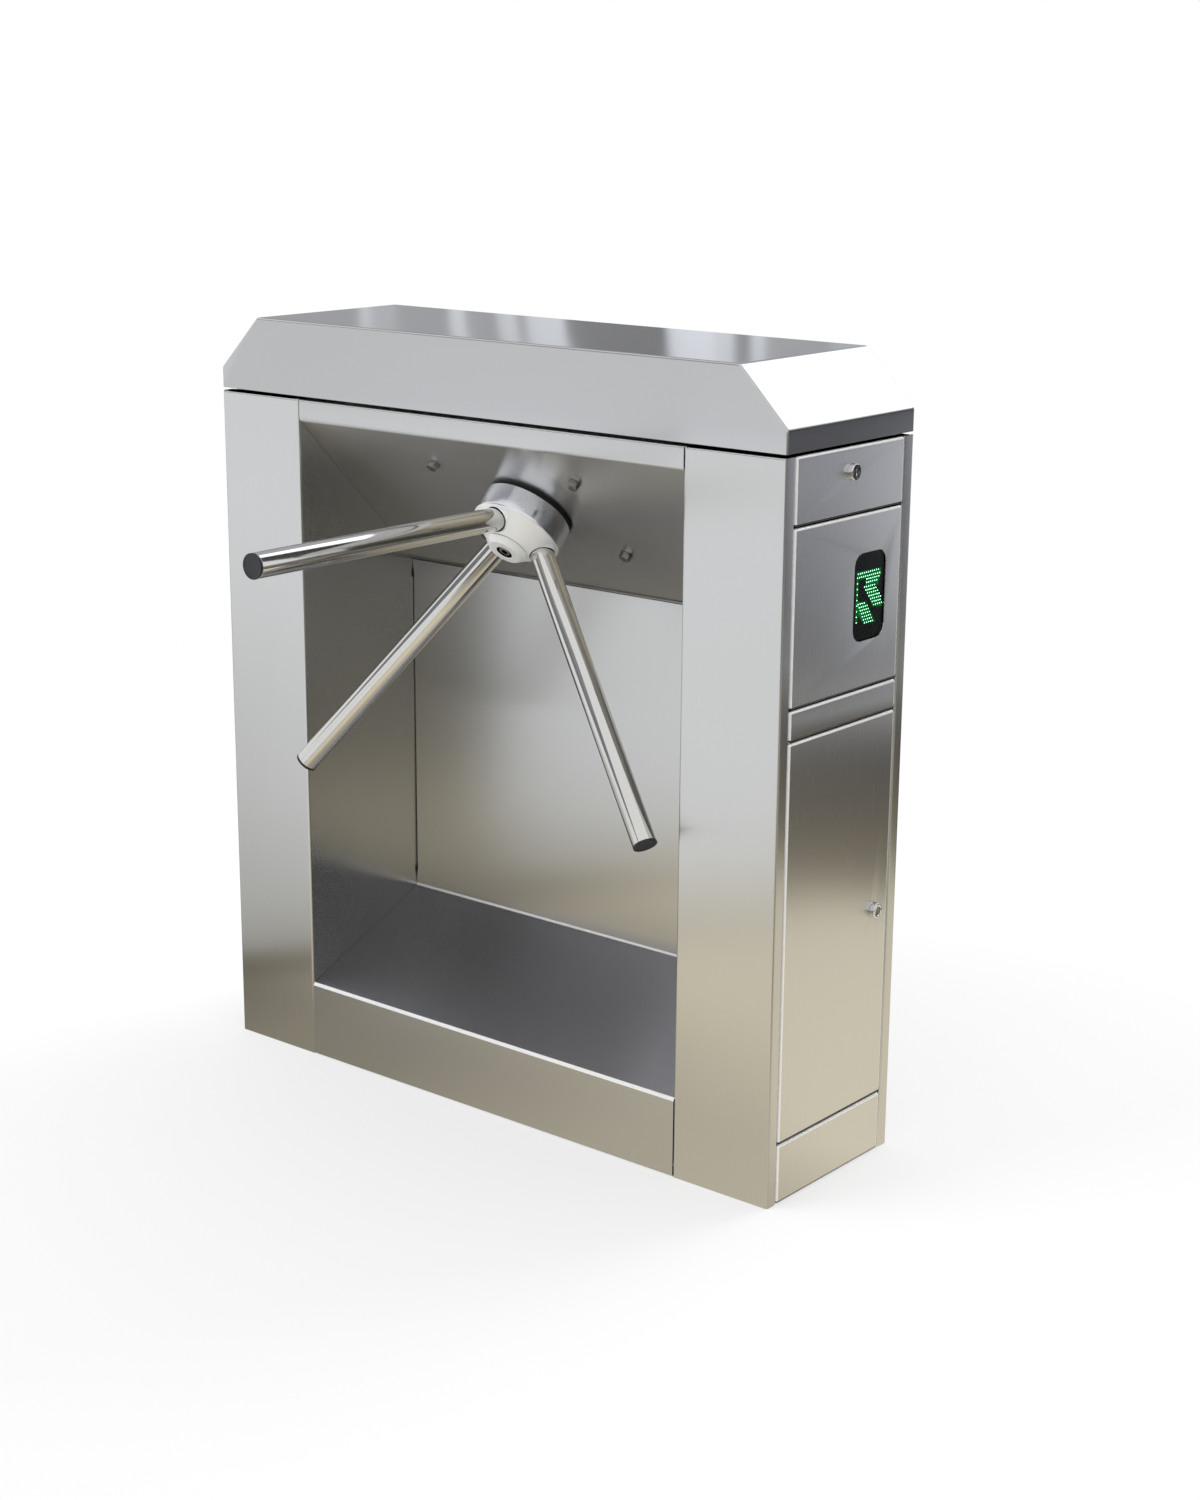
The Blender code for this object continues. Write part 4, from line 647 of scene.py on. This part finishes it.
LAMP_RADIUS = 0.00075
LAMP_BULGE = 0.35       # how far a lamp stands out, as a share of its radius
LAMP_COLUMN = 0.0042    # between lamps along a row of the arrow
LAMP_ROW = 0.0040       # between its rows
POST_STEP = 0.0066      # between the lamps of its upright bar
SLANT_STEP = 0.0035     # how far each row of a slanted band is shifted
ARROW_ROWS = (          # rows of its top bar and its neck: left, right, height
    (0.0260, 0.0710, 0.7487), (0.0245, 0.0725, 0.7443), (0.0440, 0.0700, 0.7405), (0.0440, 0.0670, 0.7365),
)
BAND_ROWS = 7
POST_LAMPS = 8
LAMP_LIMITS = (0.018, 0.0775)   # lamps stay between these Y; the window itself is 0.0127 to 0.0787
HAZE_LIFT = 0.00002     # the haze plates lie this far off the block's face
HAZE_THICK = 0.00004
# The patches below glow by themselves: painted light round the lamps.
HAZE_BARS = (           # outlines of the lit patches, as (y, z) corners
    ((0.0225, 0.7415), (0.0745, 0.7415), (0.0735, 0.7500), (0.0225, 0.7515)),
    ((0.0420, 0.7320), (0.0680, 0.7300), (0.0725, 0.7413), (0.0420, 0.7413)),
    ((0.0226, 0.6905), (0.0267, 0.6905), (0.0267, 0.7413), (0.0226, 0.7413)),
    ((0.0370, 0.7330), (0.0590, 0.7055), (0.0780, 0.7030), (0.0780, 0.7090), (0.0635, 0.7295)),
    ((0.0269, 0.7160), (0.0269, 0.7000), (0.0395, 0.6885), (0.0650, 0.6860), (0.0440, 0.7135)),
)


def arrow_places():
    """Lamp centres (y, z) on the end: a top bar, an upright bar and two slanted bands."""
    rows = list(ARROW_ROWS)
    for row in range(BAND_ROWS):
        left = 0.0395 + SLANT_STEP * row
        rows.append((left, left + 0.0215, 0.7315 - LAMP_ROW * row))
    for row in range(BAND_ROWS):
        left = 0.0275 + 0.7 * SLANT_STEP * row
        rows.append((left, left + 0.0165 + 0.0006 * row, 0.7125 - LAMP_ROW * row))
    places = [(0.0246, 0.7375 - POST_STEP * row) for row in range(POST_LAMPS)]
    for left, right, height in rows:
        count = int((right - left) / LAMP_COLUMN) + 1
        places += [(left + LAMP_COLUMN * column, height) for column in range(count)]
    return [(y, z) for y, z in places if LAMP_LIMITS[0] < y < LAMP_LIMITS[1]]


def make_lamps(side, word):
    """Small domes on the block's face, set by Geometry Nodes on the arrow's points."""
    face_x = side * (END_X - LAMP_FACE)
    mesh = bpy.data.meshes.new("lamp points")
    mesh.from_pydata([(face_x, y, z) for y, z in arrow_places()], [], [])
    ob = bpy.data.objects.new("arrow_lamps_" + word, mesh)
    bpy.context.scene.collection.objects.link(ob)
    group = bpy.data.node_groups.new("lamps_on_points", "GeometryNodeTree")
    group.interface.new_socket("Geometry", in_out="INPUT", socket_type="NodeSocketGeometry")
    radius = group.interface.new_socket("Lamp radius", in_out="INPUT", socket_type="NodeSocketFloat")
    group.interface.new_socket("Geometry", in_out="OUTPUT", socket_type="NodeSocketGeometry")
    entry = add(group, "NodeGroupInput")
    dome = add(group, "GeometryNodeMeshUVSphere", {"Segments": 10, "Rings": 6,
                                                   "Radius": entry["Lamp radius"]})
    flat = add(group, "GeometryNodeTransform", {"Geometry": dome["Mesh"], "Scale": (LAMP_BULGE, 1, 1)})
    spread = add(group, "GeometryNodeInstanceOnPoints", {"Points": entry["Geometry"],
                                                         "Instance": flat["Geometry"]})
    real = add(group, "GeometryNodeRealizeInstances", {"Geometry": spread["Instances"]})
    coated = add(group, "GeometryNodeSetMaterial", {"Geometry": real["Geometry"], "Material": arrow_green})
    add(group, "NodeGroupOutput", {"Geometry": coated["Geometry"]})
    lamps = ob.modifiers.new("lamps", "NODES")
    lamps.node_group = group
    lamps[radius.identifier] = LAMP_RADIUS
    settle(ob)
    shade(ob.data, 40)
    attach(ob, "cabinet")


def make_haze(side, word):
    """The block's face where light seeps round the lamps: a thin plate behind each bar of the arrow, glowing by
    itself as painted light.
    """
    inner = END_X - LAMP_FACE + HAZE_LIFT
    low, high = sorted((side * inner, side * (inner + HAZE_THICK)))
    bars = []
    for number, bar in enumerate(HAZE_BARS):
        outline = [(-z, y) for y, z in bar]
        bars.append(piece(f"haze_{number}", prism(outline, low, high), Matrix.Rotation(math.pi / 2, 4, "Y")))
    haze = wear(merge("arrow_haze_" + word, *bars), haze_painted_glow)
    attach(haze, "cabinet")


for end_side, end_word in ((1, "right"), (-1, "left")):
    make_lamps(end_side, end_word)
    make_haze(end_side, end_word)


# Every other node: a merged copy with soft folds and the finish of its slot

SAME_POINT = 0.00002


def refine(node):
    """A copy of a node, its doubles merged, smooth over folds and round parts."""
    bm = bmesh.new()
    bm.from_mesh(NODES[node].data)
    bmesh.ops.remove_doubles(bm, verts=bm.verts, dist=SAME_POINT)
    ob = piece(node + "_finished", bm, smooth=50)
    weigh = ob.modifiers.new("weigh", "WEIGHTED_NORMAL")
    weigh.keep_sharp = True
    settle(ob)
    if node in MIXED_FINISH:
        dress(ob, *MIXED_FINISH[node])
    else:
        wear(ob, OWN_FINISH.get(node, FINISH[SLOT_OF[node]]))
    stand_for(ob, node)


# Nodes that a finer piece above already stands for
REPLACED = {"hub", "hub_cap"}
REPLACED |= {f"{kind}_{number}" for kind in ("arm", "arm_cap") for number in (1, 2, 3)}
REPLACED |= {f"panel_bolt_{number}" for number in (1, 2, 3, 4)}
for node_name in sorted(set(NODES) - REPLACED):
    refine(node_name)


# Stage: a pale floor, and cards that only reflections see

def card(name, low, high, axis, at):
    """A flat card across one axis, seen in reflections alone."""
    bm = bmesh.new()
    a, b = [i for i in range(3) if i != axis]
    corners = []
    for u, v in ((low[0], low[1]), (high[0], low[1]), (high[0], high[1]), (low[0], high[1])):
        point = [0.0, 0.0, 0.0]
        point[axis], point[a], point[b] = at, u, v
        corners.append(bm.verts.new(point))
    bm.faces.new(corners)
    ob = piece(name, bm)
    for ray in ("camera", "diffuse", "shadow", "transmission", "volume_scatter"):
        setattr(ob, "visible_" + ray, False)
    return ob


def glow(name):
    """A material that is only light, for the stage."""
    material = bpy.data.materials.new(name)
    material.use_nodes = True
    tree = material.node_tree
    tree.nodes.remove(tree.nodes["Principled BSDF"])
    light = tree.nodes.new("ShaderNodeEmission")
    tree.links.new(light.outputs[0], tree.nodes["Material Output"].inputs["Surface"])
    return material, tree, light


def make_floor():
    """White where it is open, with the object's own soft shadow on it."""
    bm = bmesh.new()
    bm.faces.new([bm.verts.new((x, y, 0)) for x, y in ((-60, -60), (60, -60), (60, 60), (-60, 60))])
    floor = piece("studio_floor", bm)
    material, tree, light = glow("floor_painted_white")
    matt = add(tree, "ShaderNodeBsdfDiffuse", {"Color": grey(0.86)})[0]
    place = add(tree, "ShaderNodeTexCoord")["Object"]
    reach = add(tree, "ShaderNodeVectorMath", {0: place}, operation="LENGTH")["Value"]
    open_share = add(tree, "ShaderNodeMapRange", {"Value": reach, "From Min": 0.9, "From Max": 2.2})[0]
    open_share = add(tree, "ShaderNodeMapRange", {"Value": open_share, "To Min": 0.45})[0]
    blend = add(tree, "ShaderNodeMixShader", {0: open_share, 1: matt, 2: light.outputs[0]})[0]
    tree.links.new(blend, tree.nodes["Material Output"].inputs["Surface"])
    wear(floor, material)


# Tones of the mirrored floor, as (share of the way, linear colour). The length of each way stands at its use.
# They began as colours measured at points of the panels in the photograph, divided by the steel's own
# reflectance, and were then cut down to a few stops and changed until the render agreed.
STONE = (0.80, 0.73, 0.57, 1)
STONE_AT_FOOT = (       # shares of STONE
    (0.0, 0.27), (0.17, 0.42), (0.33, 0.48), (0.5, 0.64), (0.64, 0.78), (0.80, 0.84), (1.0, 0.9),
)
FLOOR_LEFT = (
    (0.0, (0.28, 0.25, 0.18, 1)), (0.076, (0.28, 0.25, 0.18, 1)), (0.083, (0.15, 0.13, 0.09, 1)),
    (0.092, (0.17, 0.15, 0.11, 1)), (0.098, (0.47, 0.47, 0.44, 1)), (0.125, (0.56, 0.56, 0.55, 1)),
    (0.21, (0.66, 0.66, 0.66, 1)), (0.30, (0.68, 0.68, 0.69, 1)), (0.46, (0.86, 0.87, 0.89, 1)),
    (0.85, (1.08, 1.10, 1.14, 1)),
)
FLOOR_RIGHT = (
    (0.0, (0.75, 0.68, 0.54, 1)), (0.085, (0.72, 0.66, 0.54, 1)), (0.105, (0.76, 0.73, 0.64, 1)),
    (0.135, (0.98, 1.0, 1.02, 1)), (0.6, (0.98, 1.0, 1.03, 1)), (0.85, (0.84, 0.85, 0.86, 1)),
)
FLOOR_BACK = (
    (0.0, (0.96, 0.88, 0.70, 1)), (0.12, (0.92, 0.85, 0.68, 1)), (0.168, (0.90, 0.83, 0.67, 1)),
    (0.190, (0.42, 0.38, 0.28, 1)), (0.210, (0.22, 0.19, 0.14, 1)), (0.25, (0.16, 0.135, 0.10, 1)),
    (0.31, (0.085, 0.077, 0.066, 1)), (0.370, (0.07, 0.068, 0.065, 1)), (0.385, (0.50, 0.50, 0.50, 1)),
    (0.42, (0.50, 0.50, 0.51, 1)), (0.435, (0.14, 0.14, 0.145, 1)), (0.63, (0.18, 0.185, 0.205, 1)),
    (0.90, (0.30, 0.31, 0.35, 1)),
)
FLOOR_AISLE = (
    (0.1, (0.19, 0.17, 0.14, 1)), (0.3, (0.27, 0.25, 0.21, 1)), (0.48, (0.38, 0.36, 0.31, 1)),
    (0.6, (0.33, 0.32, 0.29, 1)), (0.7, (0.22, 0.21, 0.20, 1)), (0.9, (0.13, 0.13, 0.13, 1)),
)
MIRRORED_VIEW = (-0.798, -0.602, 0)     # the way over the floor that the front face mirrors
MIRRORED_SIDE = (0.602, -0.798, 0)      # across it


def make_floor_card():
    """What the steel sees of the hall's floor: pale stone near by, a darker band behind, pale far off."""
    board = card("reflected_floor", (-14, -14), (14, 14), 2, 0.0006)
    material, tree, light = glow("stone_floor_reflected")
    place = add(tree, "ShaderNodeTexCoord")["Object"]
    axes = add(tree, "ShaderNodeSeparateXYZ", {"Vector": place})

    # close to the foot, darker towards the object's left
    near_x = add(tree, "ShaderNodeMapRange", {"Value": axes["X"], "From Min": -0.6, "From Max": 0.6})[0]
    foot = add(tree, "ShaderNodeValToRGB", {"Fac": near_x},
               stops=[(at, scaled(STONE, share)) for at, share in STONE_AT_FOOT])["Color"]
    clear = add(tree, "ShaderNodeMapRange", {"Value": axes["Y"], "From Min": -0.30, "From Max": -0.65})[0]
    near = add(tree, "ShaderNodeMix", {0: clear, 6: foot, 7: scaled(STONE, 1.12)}, data_type="RGBA")[2]

    # in front and further off, over 8 m, one run of tones to the left and one to the right
    out = add(tree, "ShaderNodeVectorMath", {0: place, 1: MIRRORED_VIEW}, operation="DOT_PRODUCT")["Value"]
    side = add(tree, "ShaderNodeVectorMath", {0: place, 1: MIRRORED_SIDE}, operation="DOT_PRODUCT")["Value"]
    far_s = add(tree, "ShaderNodeMapRange", {"Value": out, "From Min": 0.0, "From Max": 8.0})[0]
    left = add(tree, "ShaderNodeValToRGB", {"Fac": far_s}, stops=FLOOR_LEFT)["Color"]
    right = add(tree, "ShaderNodeValToRGB", {"Fac": far_s}, stops=FLOOR_RIGHT)["Color"]
    sideways = add(tree, "ShaderNodeMapRange", {"Value": side, "From Min": 0.05, "From Max": 0.38})[0]
    hall = add(tree, "ShaderNodeMix", {0: sideways, 6: left, 7: right}, data_type="RGBA")[2]
    edge = add(tree, "ShaderNodeMapRange", {"Value": out, "From Min": 0.60, "From Max": 0.68})[0]
    front = add(tree, "ShaderNodeMix", {0: edge, 6: near, 7: hall}, data_type="RGBA")[2]

    # behind, over 6 m from the right end, which mirrors it, with a bright stretch straight back
    from_end = add(tree, "ShaderNodeVectorMath", {0: place, 1: (END_X, 0, 0)}, operation="DISTANCE")["Value"]
    back_s = add(tree, "ShaderNodeMapRange", {"Value": from_end, "From Min": 0.0, "From Max": 6.0})[0]
    back = add(tree, "ShaderNodeValToRGB", {"Fac": back_s}, stops=FLOOR_BACK)["Color"]
    rise = add(tree, "ShaderNodeMath", {0: axes["Y"], 1: from_end}, operation="DIVIDE")[0]
    turned_away = add(tree, "ShaderNodeMapRange", {"Value": rise, "From Min": 0.845, "From Max": 0.92})[0]
    far_off = add(tree, "ShaderNodeMapRange", {"Value": from_end, "From Min": 2.3, "From Max": 3.6})[0]
    bright = add(tree, "ShaderNodeMath", {0: turned_away, 1: far_off}, operation="MULTIPLY")[0]
    back = add(tree, "ShaderNodeMix", {0: bright, 6: back, 7: (0.9, 0.93, 1.0, 1)}, data_type="RGBA")[2]
    behind = add(tree, "ShaderNodeMapRange", {"Value": axes["Y"], "From Min": -0.12, "From Max": 0.08})[0]
    floor = add(tree, "ShaderNodeMix", {0: behind, 6: front, 7: back}, data_type="RGBA")[2]

    # the aisle to the right of the front, over 5 m
    right_x = add(tree, "ShaderNodeMapRange", {"Value": axes["X"], "From Min": 0.40, "From Max": 0.75})[0]
    front_y = add(tree, "ShaderNodeMapRange", {"Value": axes["Y"], "From Min": -0.2, "From Max": -0.7})[0]
    in_aisle = add(tree, "ShaderNodeMath", {0: right_x, 1: front_y}, operation="MULTIPLY")[0]
    reach = add(tree, "ShaderNodeVectorMath", {0: place}, operation="LENGTH")["Value"]
    reach = add(tree, "ShaderNodeMapRange", {"Value": reach, "From Min": 0.0, "From Max": 5.0})[0]
    aisle = add(tree, "ShaderNodeValToRGB", {"Fac": reach}, stops=FLOOR_AISLE)["Color"]
    floor = add(tree, "ShaderNodeMix", {0: in_aisle, 6: floor, 7: aisle}, data_type="RGBA")[2]
    tree.links.new(floor, light.inputs["Color"])
    wear(board, material)


# Bays of the hall behind, as the lid mirrors them: the X where each ends and how bright it is.
# They began as tones measured every 20 mm along three lines of the lid in the photograph, grouped
# into 15 bands, divided by the steel's reflectance, then darkened and changed until the render agreed.
HALL_BAYS = (
    (-8.25, 0.42), (-8.16, 0.72), (-7.95, 0.52), (-7.54, 0.42), (-7.42, 0.76), (-7.18, 0.42), (-7.04, 0.72),
    (-6.97, 0.42), (-6.70, 0.76), (-6.02, 0.25), (-5.72, 0.86), (-5.59, 0.74), (-5.49, 0.30), (-5.40, 0.78),
    (-5.00, 0.44),
)
BAYS_FROM = -9.0
BAYS_TO = -5.0
BAY_BLUR = 0.015        # half the soft edge between two bays
WALL_BEYOND = (         # the wall to the right of the bays, over 13 m
    (0.0, (0.52, 0.54, 0.58, 1)), (0.25, (0.48, 0.50, 0.53, 1)), (0.5, (0.26, 0.27, 0.29, 1)),
    (0.75, (0.08, 0.08, 0.08, 1)), (1.0, (0.08, 0.08, 0.08, 1)),
)


def make_wall_card():
    """What the lid sees of the hall behind: dark walling between tall bright windows."""
    board = card("reflected_wall", (-14, 0), (12, 40), 1, 8.0)
    material, tree, light = glow("hall_wall_reflected")
    place = add(tree, "ShaderNodeTexCoord")["Object"]
    axes = add(tree, "ShaderNodeSeparateXYZ", {"Vector": place})
    along = add(tree, "ShaderNodeMapRange", {"Value": axes["X"], "From Min": BAYS_FROM,
                                             "From Max": BAYS_TO})[0]
    bays = []
    for (left_x, _), (edge_x, tone) in zip(((BAYS_FROM, 0),) + HALL_BAYS, HALL_BAYS):
        tinted = (tone, tone * (1.0 + 0.04 * tone), tone * (1.0 + 0.12 * tone), 1)
        for x in (left_x + BAY_BLUR, edge_x - BAY_BLUR):
            bays.append(((x - BAYS_FROM) / (BAYS_TO - BAYS_FROM), tinted))
    wall = add(tree, "ShaderNodeValToRGB", {"Fac": along}, stops=bays)["Color"]
    far_x = add(tree, "ShaderNodeMapRange", {"Value": axes["X"], "From Min": BAYS_TO, "From Max": 8.0})[0]
    plain = add(tree, "ShaderNodeValToRGB", {"Fac": far_x}, stops=WALL_BEYOND)["Color"]
    beyond = add(tree, "ShaderNodeMath", {0: axes["X"], 1: BAYS_TO}, operation="GREATER_THAN")[0]
    wall = add(tree, "ShaderNodeMix", {0: beyond, 6: wall, 7: plain}, data_type="RGBA")[2]

    # a skylight high on the right
    right_part = add(tree, "ShaderNodeMapRange", {"Value": axes["X"], "From Min": -2.5, "From Max": -0.5})[0]
    high = add(tree, "ShaderNodeMapRange", {"Value": axes["Z"], "From Min": 2.5, "From Max": 4.5})[0]
    skylight = add(tree, "ShaderNodeMath", {0: right_part, 1: high}, operation="MULTIPLY")[0]
    inside = add(tree, "ShaderNodeMapRange", {"Value": axes["X"], "From Min": 5.0, "From Max": 3.5})[0]
    skylight = add(tree, "ShaderNodeMath", {0: skylight, 1: inside}, operation="MULTIPLY")[0]
    wall = add(tree, "ShaderNodeMix", {0: skylight, 6: wall, 7: (2.1, 2.12, 2.15, 1)}, data_type="RGBA")[2]
    tree.links.new(wall, light.inputs["Color"])
    wear(board, material)


def make_gallery_card():
    """The dark gallery high up behind the camera's left. It shows only faintly, in the niche."""
    board = card("reflected_gallery", (-14, 2.3), (-2, 7.5), 1, -8.0)
    material, tree, light = glow("gallery_reflected")
    light.inputs["Color"].default_value = (0.24, 0.25, 0.28, 1)
    wear(board, material)


make_floor()
make_floor_card()
make_wall_card()
make_gallery_card()


# Lamps and world

def soft_lamp(name, at, towards, size, watts):
    """A soft box that no reflection shows: the cards are what the steel mirrors."""
    light = bpy.data.lights.new(name, "AREA")
    light.shape = "RECTANGLE"
    light.size, light.size_y = size
    light.energy = watts
    ob = bpy.data.objects.new(name, light)
    bpy.context.scene.collection.objects.link(ob)
    ob.location = at
    ob.rotation_euler = (Vector(towards) - Vector(at)).to_track_quat("-Z", "Y").to_euler()
    ob.visible_glossy = False


soft_lamp("rear_soft_box", (0.9, 3.4, 3.3), (0.3, 0, 0.95), (2.4, 1.6), 70)
soft_lamp("front_soft_box", (-1.8, -2.6, 3.4), (0, 0, 0.5), (2.6, 2.0), 60)

# White where it is seen, straight, mirrored or through the lens, and a little less as light
world = bpy.data.worlds.new("studio")
world.use_nodes = True
bpy.context.scene.world = world
sky_tree = world.node_tree
sky = sky_tree.nodes["Background"]
rays = add(sky_tree, "ShaderNodeLightPath")
seen = add(sky_tree, "ShaderNodeMath", {0: rays["Is Camera Ray"], 1: rays["Is Glossy Ray"]},
           operation="MAXIMUM")[0]
seen = add(sky_tree, "ShaderNodeMath", {0: seen, 1: rays["Is Transmission Ray"]}, operation="MAXIMUM")[0]
level = add(sky_tree, "ShaderNodeMapRange", {"Value": seen, "To Min": 0.9, "To Max": 1.0})[0]
sky_tree.links.new(level, sky.inputs["Strength"])
sky.inputs["Color"].default_value = (1, 1, 1, 1)


# Camera, solved from the photograph

CAMERA_AT = (2.04901554, -2.40137189, 1.31559487)
CAMERA_TURN = Vector((1.7585, 0.6367, -0.4745))     # rotation vector from the world to the picture
FOCAL = 2525.6          # pixels of the 1200 x 1500 picture
CENTRE = (591.88, 772.41)
PICTURE = (1200, 1500)

camera = bpy.data.cameras.new("photo_camera")
camera.sensor_width = 36
camera.lens = FOCAL / PICTURE[1] * camera.sensor_width
camera.shift_x = (PICTURE[0] / 2 - CENTRE[0]) / PICTURE[1]
camera.shift_y = (CENTRE[1] - PICTURE[1] / 2) / PICTURE[1]
viewer = bpy.data.objects.new("photo_camera", camera)
bpy.context.scene.collection.objects.link(viewer)
turn = Matrix.Rotation(CAMERA_TURN.length, 3, CAMERA_TURN.normalized())
viewer.matrix_world = Matrix.Translation(CAMERA_AT) @ (
    turn.transposed() @ Matrix.Diagonal((1, -1, -1))).to_4x4()
bpy.context.scene.camera = viewer
bpy.context.scene.view_settings.view_transform = "Standard"
